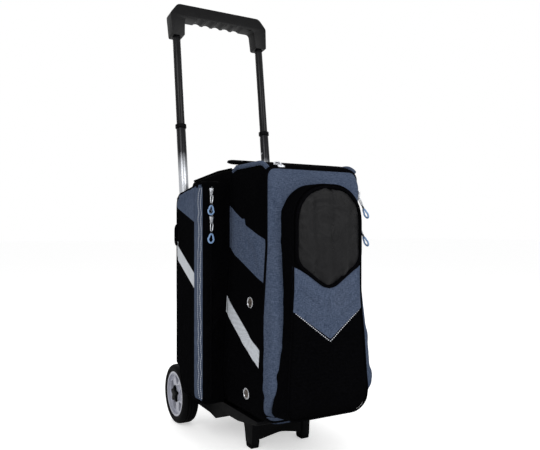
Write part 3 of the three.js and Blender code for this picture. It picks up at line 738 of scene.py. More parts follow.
# ---------------------------------------------------------------- soft forms
@dataclass
class Loft:
    """A shell of fabric: rings swept between two surfaces, its end rounded over and closed."""

    outline: Sequence[Corner]
    near: Callable[[float, float], float]
    far: Callable[[float, float], float]
    place: Callable[[float, float, float], Vector]
    rounding: float = 12.0
    depth_steps: int = 20
    cap_steps: int = 14
    capped: bool = True
    rim: float = 0.0
    spacing: float = GRID

    def rings(self) -> list[list[Vector]]:
        """All rings of the shell as points in the row frame.

        Returns:
            The rings from the open end to the closed one.
        """
        ring = rounded_ring(self.outline, self.spacing)
        rows: list[list[Vector]] = []
        for i in range(self.depth_steps):
            row = []
            for p in ring:
                near, far = self.near(p.x, p.y), self.far(p.x, p.y)
                end = far - math.copysign(self.rounding, far - near)
                row.append(self.place(p.x, p.y, near + (end - near) * i / self.depth_steps))
            rows.append(row)
        arc_steps = max(3, round(self.rounding * 1.5 / self.spacing) + 2)
        for i in range(arc_steps + 1):
            angle = math.pi / 2 * i / arc_steps
            row = []
            for p, q in zip(ring, inward(ring, self.rounding * (1 - math.cos(angle)))):
                near, far = self.near(p.x, p.y), self.far(p.x, p.y)
                lift = self.rounding * (1 - math.sin(angle))
                row.append(self.place(q.x, q.y, far - math.copysign(lift, far - near)))
            rows.append(row)
        flat = inward(ring, self.rounding)
        if self.rim:
            rows.append([self.place(q.x, q.y, self.far(q.x, q.y)) for q in inward(ring, self.rounding + self.rim)])
        if self.capped:
            rows += self.cap(flat)
        return rows

    def cap(self, flat: Sequence[Vector]) -> list[list[Vector]]:
        """Rings that close the end, shrinking onto its middle line.

        Args:
            flat: The ring at which the end's flat part starts.

        Returns:
            The rings, from the outside in.
        """
        low, high = min(p.y for p in flat), max(p.y for p in flat)
        wide = (max(p.x for p in flat) - min(p.x for p in flat)) / 2
        middle = (max(p.x for p in flat) + min(p.x for p in flat)) / 2
        reach = min(wide, (high - low) / 2) * 0.98
        rows = []
        for i in range(1, self.cap_steps + 1):
            share = 1 - i / self.cap_steps * 0.97
            row = []
            for p in flat:
                spine = Vector((middle, min(max(p.y, low + reach), high - reach)))
                q = spine.lerp(p, share)
                row.append(self.place(q.x, q.y, self.far(q.x, q.y)))
            rows.append(row)
        return rows

    def build(self, name: str) -> bpy.types.Object:
        """The shell as a mesh of quads, faces outwards.

        Args:
            name: The piece's name.

        Returns:
            The shell.
        """
        rows = self.rings()
        bm = bmesh.new()
        grid = [[bm.verts.new(p) for p in row] for row in rows]
        for a, b in zip(grid, grid[1:]):
            for k in range(len(a)):
                j = (k + 1) % len(a)
                bm.faces.new((a[k], a[j], b[j], b[k]))
        if self.capped:
            last = bm.faces.new(grid[-1])
            bmesh.ops.triangulate(bm, faces=[last])
        bmesh.ops.remove_doubles(bm, verts=bm.verts, dist=0.0001)
        bm.normal_update()
        centre = sum((v.co for v in bm.verts), Vector()) / len(bm.verts)
        spread = sum(f.normal.dot(f.calc_center_median() - centre) * f.calc_area() for f in bm.faces)
        if spread < 0:
            bmesh.ops.reverse_faces(bm, faces=bm.faces)
        return from_bmesh(bm, name)


@dataclass(frozen=True)
class Stuffing:
    """How a fabric shell is blown up by the cloth simulation."""

    pressure: float = 4.0
    cap: float = 4.0
    slack: float = 0.012
    frames: int = 20
    quality: int = 5
    mass: float = 0.25
    stretch: float = 12.0
    shear: float = 4.0
    bend: float = 0.4

    def run(self, obj: bpy.types.Object, free: Callable[[Vector], float]) -> None:
        """Simulates the shell and keeps the result in its mesh.

        Args:
            obj: The shell, at the origin.
            free: For a point in the row frame, 1 where the cloth may move and 0 where it is sewn down.
        """
        rest = [v.co.copy() for v in obj.data.vertices]
        pins = obj.vertex_groups.new(name="sewn")
        for i, p in enumerate(rest):
            pins.add([i], 1.0 - min(max(free(p), 0.0), 1.0), "REPLACE")
        modifier = obj.modifiers.new("cloth", "CLOTH")
        cloth = modifier.settings
        cloth.quality = self.quality
        cloth.mass = self.mass
        cloth.tension_stiffness = cloth.compression_stiffness = self.stretch
        cloth.shear_stiffness = self.shear
        cloth.bending_stiffness = self.bend
        cloth.use_pressure = True
        cloth.uniform_pressure_force = self.pressure
        cloth.shrink_min = -self.slack
        cloth.effector_weights.gravity = 0
        cloth.vertex_group_mass = pins.name
        modifier.point_cache.frame_start = 1
        modifier.point_cache.frame_end = self.frames
        scene = bpy.context.scene
        for step in range(1, self.frames + 1):
            scene.frame_set(step)
        shape = obj.evaluated_get(bpy.context.evaluated_depsgraph_get()).to_mesh()
        moved = [v.co.copy() for v in shape.vertices]
        obj.modifiers.remove(modifier)
        obj.vertex_groups.remove(pins)
        scene.frame_set(1)
        limit = self.cap / 1000
        for vertex, start, end in zip(obj.data.vertices, rest, moved):
            shift = end - start
            if shift.length > limit:
                shift *= limit / shift.length
            vertex.co = start + shift
        obj.data.update()


def thicken(obj: bpy.types.Object, wall: float) -> bpy.types.Object:
    """Gives a shell its wall, inwards, and smooth shading.

    Args:
        obj: The shell.
        wall: Its thickness in millimetres.

    Returns:
        The same piece.
    """
    apply_modifier(obj, "SOLIDIFY", thickness=wall / 1000, offset=-1.0, use_even_offset=False)
    return shade(obj, 50)


def relax(obj: bpy.types.Object, rounds: int = 2) -> None:
    """Evens out the shell, leaving its open edges in place.

    Args:
        obj: The shell.
        rounds: How often its corners move to the middle of their neighbours.
    """
    bm = bmesh.new()
    bm.from_mesh(obj.data)
    loose = [v for v in bm.verts if not v.is_boundary]
    for _ in range(rounds):
        bmesh.ops.smooth_vert(bm, verts=loose, factor=0.5, use_axis_x=True, use_axis_y=True, use_axis_z=True)
    bm.to_mesh(obj.data)
    bm.free()


@dataclass(frozen=True)
class Fold:
    """A crease or swelling along a line, drawn from one side of the bag."""

    start: Point
    end: Point
    width: float
    height: float


def press_folds(obj: bpy.types.Object, axis: Axis, folds: Sequence[Fold], free: Callable[[Vector], float]) -> None:
    """Moves the cloth out (or in, for a negative height) along each fold.

    Args:
        obj: The shell, at the origin.
        axis: FROM_LEFT reads a line as (y, z) and shapes both sides; FROM_FRONT reads it as (x, z).
        folds: The folds.
        free: 1 where the cloth may move, 0 where it is sewn down.
    """
    obj.data.update()
    normals = [v.normal.copy() for v in obj.data.vertices]
    for vertex, normal in zip(obj.data.vertices, normals):
        p = vertex.co
        u = p.y * 1000 - SHIFT_Y if axis is Axis.FROM_LEFT else p.x * 1000
        here = Vector((u, p.z * 1000))
        shift = 0.0
        for fold in folds:
            a, b = Vector(fold.start), Vector(fold.end)
            share = min(max((here - a).dot(b - a) / (b - a).length_squared, 0.0), 1.0)
            gap = (here - a.lerp(b, share)).length
            if gap < 3 * fold.width:
                shift += fold.height * math.exp(-((gap / fold.width) ** 2))
        if shift:
            vertex.co = p + normal * shift * free(p) / 1000
    obj.data.update()


class Surface:
    """The outside of one or more finished pieces, which trim is laid on."""

    def __init__(self, *objects: bpy.types.Object) -> None:
        """Builds a search tree for each piece."""
        graph = bpy.context.evaluated_depsgraph_get()
        self.trees = [BVHTree.FromObject(obj, graph) for obj in objects]

    def hit(self, origin: Vector, direction: Vector) -> tuple[Vector, Vector] | None:
        """First point and outward normal that a ray meets.

        Args:
            origin: Where the ray starts.
            direction: Where it goes.

        Returns:
            The point and its normal, or None.
        """
        best = None
        for tree in self.trees:
            place, normal, _, distance = tree.ray_cast(origin, direction)
            if place is not None and (best is None or distance < best[2]):
                best = (place, normal if normal.dot(direction) < 0 else -normal, distance)
        return best[:2] if best else None


def start_point(axis: Axis, u: float, v: float) -> Vector:
    """Where the ray for an outline's point starts: u is y from the left and x from the front, v is z."""
    return at(-300, u, v) if axis is Axis.FROM_LEFT else at(u, -400, v)


@dataclass
class Applique:
    """A flat cut of material sewn on a fabric piece."""

    name: str
    outline: Sequence[Point]
    axis: Axis
    finish: Cloth
    slot: Slot
    lift: float = 0.25
    thick: float = 0.9
    cell: float = 6.0

    def build(self, surface: Surface) -> bpy.types.Object:
        """Cuts the outline, lays it on the surface and gives it its thickness.

        Args:
            surface: What it is sewn on.

        Returns:
            The new piece, undressed.
        """
        bm = bmesh.new()
        bm.faces.new([bm.verts.new((u, v, 0)) for u, v in self.outline])
        for index in (0, 1):
            values = [p[index] for p in self.outline]
            line = min(values) + self.cell
            while line < max(values):
                bmesh.ops.bisect_plane(
                    bm, geom=[*bm.verts, *bm.edges, *bm.faces], dist=1e-5,
                    plane_co=(line, 0, 0) if index == 0 else (0, line, 0),
                    plane_no=(1, 0, 0) if index == 0 else (0, 1, 0),
                )
                line += self.cell
        direction = Vector(self.axis.value)
        lost = []
        for vertex in bm.verts:
            found = surface.hit(start_point(self.axis, vertex.co.x, vertex.co.y), direction)
            if found:
                vertex.co = found[0] + found[1] * self.lift / 1000
            else:
                lost.append(vertex)
        bmesh.ops.delete(bm, geom=lost, context="VERTS")
        bmesh.ops.triangulate(bm, faces=[f for f in bm.faces if len(f.verts) > 4])
        bm.normal_update()
        away = sum(f.normal.dot(direction) * f.calc_area() for f in bm.faces)
        if away > 0:
            bmesh.ops.reverse_faces(bm, faces=bm.faces)
        obj = from_bmesh(bm, self.name)
        apply_modifier(obj, "SOLIDIFY", thickness=self.thick / 1000, offset=1.0)
        return shade(obj, 45)


def tube_along(
    name: str, points: Sequence[Vector], radius: float, closed: bool = False, sides: int = 3,
) -> bpy.types.Object:
    """A round cord or piping through points.

    Args:
        name: The piece's name.
        points: Its centre line in the row frame.
        radius: In millimetres.
        closed: Whether the last point joins the first.
        sides: Bevel resolution of the curve.

    Returns:
        The cord as a mesh at the origin.
    """
    curve = bpy.data.curves.new(name, "CURVE")
    curve.dimensions = "3D"
    curve.bevel_depth = radius / 1000
    curve.bevel_resolution = sides
    curve.use_fill_caps = not closed
    spline = curve.splines.new("POLY")
    spline.points.add(len(points) - 1)
    for knot, p in zip(spline.points, points):
        knot.co = (*p, 1)
    spline.use_cyclic_u = closed
    obj = bpy.data.objects.new(name, curve)
    bpy.context.scene.collection.objects.link(obj)
    only(obj)
    bpy.ops.object.convert(target="MESH")
    obj = bpy.context.view_layer.objects.active
    return shade(obj, 60)


def stitch_row(name: str, surface: Surface, axis: Axis, path: Sequence[Point], pitch: float = 4.6) -> bpy.types.Object:
    """A row of stitches along a path on a surface.

    Args:
        name: The piece's name.
        surface: The fabric.
        axis: The direction that the path is laid along.
        path: The path's points, as in start_point.
        pitch: From stitch to stitch.

    Returns:
        All stitches as one mesh.
    """
    bm = bmesh.new()
    direction = Vector(axis.value)
    for (u0, v0), (u1, v1) in zip(path, path[1:]):
        length = math.hypot(u1 - u0, v1 - v0)
        for k in range(int(length / pitch)):
            ends = []
            for share in (k * pitch / length, (k * pitch + pitch * 0.6) / length):
                found = surface.hit(start_point(axis, u0 + (u1 - u0) * share, v0 + (v1 - v0) * share), direction)
                if found:
                    ends.append(found)
            if len(ends) < 2:
                continue
            (a, normal), (b, _) = ends
            side = (b - a).cross(normal).normalized() * 0.0007
            up = normal * 0.0005
            corners = [a - side, a + side, b + side, b - side]
            low = [bm.verts.new(p) for p in corners]
            high = [bm.verts.new(p.lerp((a + b) / 2, 0.25) + up) for p in corners]
            bm.faces.new(high)
            for i in range(4):
                bm.faces.new((low[i], low[(i + 1) % 4], high[(i + 1) % 4], high[i]))
            bm.faces.new(low[::-1])
    bmesh.ops.recalc_face_normals(bm, faces=bm.faces)
    return from_bmesh(bm, name)


def block_row(
    name: str, points: Sequence[Vector], side: Vector, up: Vector, size: tuple[float, float, float], pitch: float,
) -> bpy.types.Object:
    """Zip teeth: small blocks set in two staggered rows along a path.

    Args:
        name: The piece's name.
        points: The zip's centre line.
        side: Direction from one row to the other; a zero vector takes it from the path and up.
        up: Direction out of the tape.
        size: Each tooth's width, length and height in millimetres.
        pitch: From tooth to tooth.

    Returns:
        All teeth as one mesh.
    """
    bm = bmesh.new()
    carried, index = 0.0, 0
    wide, long_, high = (s / 1000 for s in size)
    for a, b in zip(points, points[1:]):
        run = b - a
        if run.length < 1e-6:
            continue
        along = run.normalized()
        across = side if side.length else along.cross(up).normalized()
        while carried < run.length:
            centre = a + along * carried + across * (wide * 0.32 if index % 2 else -wide * 0.32)
            verts = []
            for w, shrink in ((0.0, 1.0), (high, 0.7)):
                for su, sv in ((-1, -1), (1, -1), (1, 1), (-1, 1)):
                    verts.append(bm.verts.new(
                        centre + across * su * wide / 2 * shrink + along * sv * long_ / 2 * shrink + up * w))
            for face in ((3, 2, 1, 0), (4, 5, 6, 7), (0, 1, 5, 4), (1, 2, 6, 5), (2, 3, 7, 6), (3, 0, 4, 7)):
                bm.faces.new([verts[i] for i in face])
            carried += pitch / 1000
            index += 1
        carried -= run.length
    bmesh.ops.recalc_face_normals(bm, faces=bm.faces)
    return from_bmesh(bm, name)


def lathe(name: str, profile: Sequence[Point], centre: Vector, sides: int = 72) -> bpy.types.Object:
    """A body turned about the X axis.

    Args:
        name: The piece's name.
        profile: Closed (radius, x) outline in millimetres.
        centre: A point on the axis; its x is not used.
        sides: Steps round the axis.

    Returns:
        The turned piece.
    """
    bm = bmesh.new()
    rings = []
    for k in range(sides):
        c, s = math.cos(math.tau * k / sides), math.sin(math.tau * k / sides)
        rings.append([bm.verts.new((x / 1000, centre.y + r * c / 1000, centre.z + r * s / 1000)) for r, x in profile])
    for a, b in zip(rings, rings[1:] + rings[:1]):
        for i in range(len(profile)):
            j = (i + 1) % len(profile)
            bm.faces.new((a[i], a[j], b[j], b[i]))
    bmesh.ops.remove_doubles(bm, verts=bm.verts, dist=1e-6)
    bmesh.ops.recalc_face_normals(bm, faces=bm.faces)
    return from_bmesh(bm, name)


def softened_node(node: str, name: str, bevel: float, segments: int = 3, angle: float = 30.0) -> bpy.types.Object:
    """A copy of a hard CAD piece with its edges rounded, standing for the node.

    Args:
        node: The CAD node.
        name: The copy's name.
        bevel: Width of the rounding in millimetres.
        segments: Steps of the rounding.
        angle: The smallest angle in degrees that is rounded.

    Returns:
        The new piece, undressed.
    """
    obj = copy_node(node, name)
    apply_modifier(
        obj, "BEVEL", width=bevel / 1000, segments=segments, limit_method="ANGLE",
        angle_limit=math.radians(angle), harden_normals=False, use_clamp_overlap=True,
    )
    shade(obj, 35)
    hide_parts(node)
    return obj


# ---------------------------------------------------------------- the bag's fabric body
def body_place(x: float, z: float, y: float) -> Vector:
    """Places a point of the body's outline, with the roof falling to the rear and rounding over in front.

    Args:
        x: Across the bag.
        z: Height before the roof and the underside are shaped.
        y: Along the bag.

    Returns:
        The point in the row frame.
    """
    fall = max((y - ROOF_FALL_START) / ROOF_FALL_RUN * ROOF_FALL_DROP, 0.0)
    if y < BROW_START:
        fall = BROW_R - math.sqrt(max(BROW_R**2 - (y - BROW_START) ** 2, 0.0))
    rise = max((TOE_START - y) * TOE_RISE / TOE_RUN, 0.0)
    z = z - fall * smooth(ROOF_BLEND, BODY_TOP, z) + rise * smooth(FLARE_LOW, BODY_BOTTOM, z)
    return at(x, y, z)


def pocket_place(x: float, z: float, y: float) -> Vector:
    """Places a point of the pocket's outline, its gusset spreading towards the door and its low end sagging.

    Args:
        x: Across the bag.
        z: Height.
        y: Along the bag.

    Returns:
        The point in the row frame.
    """
    low = smooth(300, 150, z)
    spread = 1 + (POCKET_SPREAD + POCKET_LOW_SPREAD * low) * smooth(pocket_y(z) + 8, front_y(z), y)
    return at(x * spread - POCKET_SAG * low, y, z)


@dataclass
class FabricBody:
    """The main shell with its coloured cuts, seams, roof trim and side screws."""

    wall: float = 3.6
    patch: Sequence[Point] = (
        (20, 428), (20, 516), (-40, 487), (-52, 487), (-56, 474), (-139, 444), (-139, 362), (-12, 412),
    )
    stripe: Sequence[Point] = ((20, 291), (20, 324), (-139, 232), (-139, 200))
    screws: Sequence[float] = (143.0, 321.0)
    folds: Sequence[Fold] = (
        Fold((-40, 482), (-66, 430), 6, -2.6), Fold((-66, 430), (-120, 392), 7, -2.6),
        Fold((-66, 430), (-20, 418), 6, 2.0), Fold((-96, 440), (-128, 372), 7, 2.2),
        Fold((-30, 560), (-60, 500), 8, -2.4), Fold((-70, 560), (-92, 480), 8, 2.2),
        Fold((-110, 540), (-124, 470), 7, -2.0), Fold((-120, 260), (-30, 220), 10, 1.6),
        Fold((-20, 380), (-110, 340), 9, -1.6),
    )
    surface: Surface | None = field(default=None, init=False)

    def build(self) -> bpy.types.Object:
        """Makes the shell and everything sewn on it.

        Returns:
            The shell.
        """
        shell = Loft(
            BODY_OUTLINE, lambda x, z: DOOR_SPLIT + 0.3, lambda x, z: back_y(z) - 0.6, body_place,
            rounding=11, depth_steps=44, cap_steps=16,
        ).build("body_shell")
        relax(shell, 2)
        Stuffing(pressure=2.5, cap=2.2, slack=0.008).run(shell, self.free)
        press_folds(shell, Axis.FROM_LEFT, self.folds, self.free)
        thicken(shell, self.wall)
        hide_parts("main_body")
        dress(shell, BLACK, Slot.BLACK, "bag")
        self.surface = Surface(shell)
        self.cuts()
        self.seams()
        self.side_screws()
        return shell

    @staticmethod
    def free(p: Vector) -> float:
        """Only the side walls in front of the side pockets may puff."""
        y, z = p.y * 1000 - SHIFT_Y, p.z * 1000
        wall = smooth(DOOR_SPLIT + 2, DOOR_SPLIT + 25, y) * (1 - smooth(2, 16, y))
        return wall * smooth(118, 160, z) * (1 - smooth(550, 585, z))

    def cuts(self) -> None:
        """The blue patch and the silver stripe on each side wall."""
        rows = (("side_patch", self.patch, BLUE, Slot.BLUE), ("side_stripe", self.stripe, REFLECTIVE, Slot.BLUE))
        for name, outline, finish, slot in rows:
            left = Applique(f"{name}_left", outline, Axis.FROM_LEFT, finish, slot).build(self.surface)
            right = mirrored(left, f"{name}_right")
            for piece in (left, right):
                dress(piece, finish, slot, "bag")

    def seams(self) -> None:
        """Piping at the front edge, a blue binding on the roof's side edges, and the rear piping."""
        ring = rounded_ring(BODY_OUTLINE, 6)
        outer = inward(ring, -0.6)
        front = [body_place(p.x, p.y, DOOR_SPLIT + 1.5) for p in outer]
        dress(tube_along("body_front_piping", front, 1.3, True), BLACK, Slot.BLACK, "bag")
        rear = [body_place(p.x, p.y, back_y(p.y) - 5.0) for p in inward(ring, 2.5)]
        dress(tube_along("body_rear_piping", rear, 2.2, True), BLACK, Slot.BLACK, "bag")
        for side, label in ((-1, "left"), (1, "right")):
            line = [
                body_place(side * (103.2 - 2.5 * smooth(-20, 14, y)), 594.6 - 7 * smooth(-8, 14, y), y)
                for y in range(int(DOOR_SPLIT) + 1, 15, 5)
            ]
            dress(tube_along(f"roof_binding_{label}", line, 4.6, sides=5), BLUE, Slot.BLUE, "bag")
            cord = [body_place(side * 102.6, 594.6, y) for y in range(20, 232, 6)]
            dress(tube_along(f"roof_piping_{label}", cord, 2.2), BLACK, Slot.BLACK, "bag")
            seam = [at(side * (half_width(z) + 0.4), 14, z) for z in range(110, 588, 8)]
            dress(tube_along(f"side_seam_{label}", seam, 1.3), BLACK, Slot.BLACK, "bag")

    def side_screws(self) -> None:
        """Four screws with a bright rim and a dark recess."""
        for i, z in enumerate(self.screws):
            x = max(half_width(z - 11.5), half_width(z + 11.5)) + 0.3
            centre = at(0, -90, z)
            rim = lathe(f"screw_rim_{i + 1}_left", [
                (11.5, -x), (11.5, -x - 1.2), (11.2, -x - 2.0), (10.4, -x - 2.5), (9.6, -x - 2.2), (9.2, -x - 1.5),
                (3.0, -x - 1.5), (3.0, -x + 13), (0.01, -x + 13), (0.01, -x - 0.4), (6.0, -x - 0.4), (6.0, -x),
            ], centre, 48)
            recess = lathe(f"screw_recess_{i + 1}_left", [
                (9.3, -x - 1.5), (8.8, -x - 2.1), (4.4, -x - 2.3), (3.8, -x - 1.3), (0.01, -x - 1.1), (0.01, -x - 0.6),
                (9.3, -x - 0.6),
            ], centre, 6)
            for piece, finish in ((rim, STEEL), (recess, SCREW_DARK)):
                twin = mirrored(piece, piece.name.replace("left", "right"))
                for one in (piece, twin):
                    if one.name.startswith("screw_rim"):
                        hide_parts(f"side_screw_{i + 1}_{one.name.rsplit('_', 1)[1]}")
                    shade(one, 30)
                    dress(one, finish, Slot.STEEL, "bag")


@dataclass
class FrontDoor:
    """The zip-around front door: padded blue panel, bulging pocket, oval flap, zip and pulls."""

    wall: float = 5.0
    pocket_wall: float = 2.6
    slider_tops: Sequence[float] = (545.0, 487.0)
    tab: Sequence[Point] = ((3, 6), (-2, 10), (-9, 11), (-15, 9), (-15, 6), (-8, 6.5))
    chevron: Sequence[Point] = ((-78, 396), (0, 352), (78, 396), (78, 312), (0, 257), (-78, 312))
    chevron_seams: Sequence[tuple[str, Sequence[Point]]] = (
        ("low", ((-74, 309), (0, 252), (74, 309))), ("high", ((-74, 390), (0, 346), (74, 390))),
    )
    guard: Sequence[Point] = ((-141, 330), (-141, 104), (-150, 108), (-157, 150), (-155, 205), (-148, 268))
    oval_folds: Sequence[Fold] = (
        Fold((-44, 380), (-47, 520), 8, 2.4), Fold((-24, 372), (-30, 538), 7, -1.8),
        Fold((-6, 362), (-12, 540), 8, 2.2), Fold((14, 366), (12, 536), 7, -1.8),
        Fold((33, 380), (35, 525), 8, 2.4), Fold((52, 400), (53, 505), 6, -1.6),
        Fold((-30, 440), (30, 470), 16, 1.5),
    )
    panel_folds: Sequence[Fold] = (
        Fold((-100, 568), (-78, 535), 6, -2.6), Fold((-104, 520), (-84, 500), 5, -2.2),
        Fold((-84, 560), (-60, 578), 6, 2.4), Fold((-104, 470), (-86, 442), 5, -2.0),
        Fold((-102, 400), (-88, 416), 6, 2.2), Fold((-108, 352), (-90, 330), 5, -2.6),
        Fold((-112, 270), (-96, 244), 6, 2.4), Fold((-114, 205), (-98, 186), 6, -2.6),
        Fold((-60, 140), (-112, 150), 8, -2.2),
        Fold((98, 566), (74, 520), 6, -3.4), Fold((84, 572), (66, 540), 5, 2.4), Fold((104, 480), (88, 455), 6, 2.2),
        Fold((108, 380), (90, 350), 6, -2.4), Fold((114, 260), (96, 230), 6, 2.4),
        Fold((116, 190), (100, 205), 6, -2.2),
        Fold((-30, 572), (10, 562), 7, 2.2), Fold((30, 574), (58, 562), 6, -2.2),
    )
    pocket_folds: Sequence[Fold] = (
        Fold((-66, 352), (-20, 322), 7, -1.8), Fold((-70, 330), (-30, 300), 6, 1.6),
        Fold((64, 356), (22, 330), 7, 1.8),
        Fold((70, 322), (36, 300), 6, -1.6), Fold((-70, 240), (-20, 210), 9, 1.8), Fold((60, 230), (10, 190), 9, -1.8),
        Fold((-74, 170), (0, 140), 8, -2.0), Fold((80, 180), (30, 138), 8, 1.8), Fold((-10, 290), (8, 262), 6, 1.4),
    )

    def build(self) -> None:
        """Makes the door from the back forwards."""
        panel = Loft(
            BODY_OUTLINE, lambda x, z: DOOR_SPLIT - 0.3, lambda x, z: front_y(z), body_place,
            rounding=9, depth_steps=4, cap_steps=18,
        ).build("door_panel")
        relax(panel, 2)
        Stuffing(pressure=3.0, cap=3.0, slack=0.01).run(panel, self.panel_free)
        relax(panel, 1)
        press_folds(panel, Axis.FROM_FRONT, self.panel_folds, self.panel_free)
        thicken(panel, self.wall)
        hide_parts("front_panel")
        dress(panel, BLUE, Slot.BLUE, "front_door")
        guard = Applique("door_corner_guard_left", self.guard, Axis.FROM_LEFT, BLACK, Slot.BLACK).build(Surface(panel))
        twin = mirrored(guard, "door_corner_guard_right")
        for piece in (guard, twin):
            dress(piece, BLACK, Slot.BLACK, "front_door")
        self.pocket()
        self.zip_line()

    @staticmethod
    def panel_free(p: Vector) -> float:
        """The front face and corners puff; the sewn edge does not."""
        y, z = p.y * 1000 - SHIFT_Y, p.z * 1000
        return smooth(DOOR_SPLIT - 4, DOOR_SPLIT - 17, y) * (0.5 + 0.5 * smooth(95, 130, z))

    @staticmethod
    def pocket_free(p: Vector) -> float:
        """The pocket's front face and gusset puff away from its sewn edges."""
        x, z = abs(p.x) * 1000, p.z * 1000
        y = p.y * 1000 - SHIFT_Y
        oval = 1 - smooth(76, 70, x) * smooth(350, 372, z) * (1 - smooth(548, 556, z))
        return oval * smooth(front_y(z) - 2, front_y(z) - 12, y)

    def pocket(self) -> None:
        """The pocket shell with its oval opening, chevron, tip, flap and zip border."""
        shell = Loft(
            POCKET_OUTLINE, lambda x, z: front_y(z) + 1.0, lambda x, z: pocket_y(z),
            pocket_place, rounding=12, depth_steps=5, cap_steps=20, spacing=5.5,
        ).build("pocket_shell")
        relax(shell, 2)
        hole = rounded_ring(OVAL_OUTLINE, 3)
        bm = bmesh.new()
        bm.from_mesh(shell.data)
        cut = [
            f for f in bm.faces
            if f.calc_center_median().y < (-190 + SHIFT_Y) / 1000
            and inside(hole, f.calc_center_median().x * 1000, f.calc_center_median().z * 1000)
        ]
        bmesh.ops.delete(bm, geom=cut, context="FACES")
        for vertex in bm.verts:
            if vertex.is_boundary and vertex.co.y < (-188 + SHIFT_Y) / 1000:
                flat = Vector((vertex.co.x * 1000, vertex.co.z * 1000))
                near = min(hole, key=lambda p: (p - flat).length)
                vertex.co.x, vertex.co.z = near.x / 1000, near.y / 1000
        bm.to_mesh(shell.data)
        bm.free()
        Stuffing(pressure=4.0, cap=4.0, slack=0.02).run(shell, self.pocket_free)
        press_folds(shell, Axis.FROM_FRONT, self.pocket_folds, self.pocket_free)
        thicken(shell, self.pocket_wall)
        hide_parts("front_pocket")
        dress(shell, BLACK, Slot.BLACK, "front_door")
        surface = Surface(shell)
        chevron = self.chevron
        halves = [
            [chevron[0], chevron[5], chevron[4], chevron[1]],
            [chevron[1], chevron[4], chevron[3], chevron[2]],
        ]
        for label, outline in zip(("left", "right"), halves):
            dress(
                Applique(f"pocket_chevron_{label}", outline, Axis.FROM_FRONT, BLUE, Slot.BLUE).build(surface),
                BLUE, Slot.BLUE, "front_door",
            )
        for label, path in self.chevron_seams:
            row = stitch_row(f"chevron_stitches_{label}", surface, Axis.FROM_FRONT, path)
            dress(row, THREAD, Slot.BLUE, "front_door")
        rim = [at(p.x, -198.4, p.y) for p in inward(rounded_ring(PANEL_OUTLINE, 4), -3.0)]
        dress(tube_along("oval_zip_tape", rim, 3.2, True), WEBBING, Slot.BLACK, "front_door")
        edge = [pocket_place(p.x, p.y, pocket_y(p.y) + 3.0) for p in inward(rounded_ring(POCKET_OUTLINE, 5), 2.2)]
        dress(tube_along("pocket_piping", edge, 2.0, True), BLACK, Slot.BLACK, "front_door")
        self.flap()

    def flap(self) -> None:
        """The oval panel: one soft cloth over the flap and its fixed tip."""
        flap = Loft(
            PANEL_OUTLINE, lambda x, z: -196.3, lambda x, z: -199.4,
            lambda x, z, y: at(x, y, z), rounding=2, depth_steps=1, cap_steps=15, spacing=4.0,
        ).build("oval_flap_cloth")
        relax(flap, 1)

        def free(p: Vector) -> float:
            """Only the front of the panel moves."""
            return smooth(-197, -199, p.y * 1000 - SHIFT_Y)

        Stuffing(pressure=4.0, cap=3.0, slack=0.02).run(flap, free)
        press_folds(flap, Axis.FROM_FRONT, self.oval_folds, free)
        thicken(flap, 1.8)
        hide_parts("oval_panel")
        flap.data.materials.append(BLACK_PANEL.material())
        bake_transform(flap)
        log.info("%s bends from front_door to oval_flap", flap.name)

    def zip_line(self) -> None:
        """Tape and coil round the door, two sliders on the right and one at the top left."""
        ring = rounded_ring(BODY_OUTLINE, 6)
        for name, offset, y, radius, body in (
            ("door_tape_front", 0.0, DOOR_SPLIT - 2.6, 2.0, "front_door"),
            ("door_coil", -1.2, DOOR_SPLIT - 0.8, 1.1, "front_door"),
        ):
            line = [body_place(p.x, p.y, y) for p in inward(ring, offset)]
            dress(tube_along(name, line, radius, True), WEBBING, Slot.BLACK, body)
        for i, top in enumerate(self.slider_tops):
            slider = softened_slider(f"door_slider_{i + 1}", at(108.3, -147.3, top - 7), Vector((1, 0, 0)))
            if i == 0:
                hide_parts("door_zip")
            dress(slider, ZIP_METAL, Slot.STEEL, "front_door")
            name = f"door_pull_{i + 1}"
            pull_pair(name, at(109.3, -147.3, top - 15.1), Vector((1, 0, 0)), name, 0.55)
        top = body_place(-75, 598, DOOR_SPLIT - 2)
        dress(
            softened_slider("roof_slider", top + Vector((0, 0, 0.0035)), Vector((0, 0, 1)), Vector((1, 0, 0))),
            ZIP_METAL, Slot.STEEL, "front_door",
        )
        tab = [top + Vector((x / 1000, 0, z / 1000)) for x, z in self.tab]
        dress(tube_along("roof_slider_tab", tab, 1.3, True), ZIP_METAL, Slot.STEEL, "front_door")


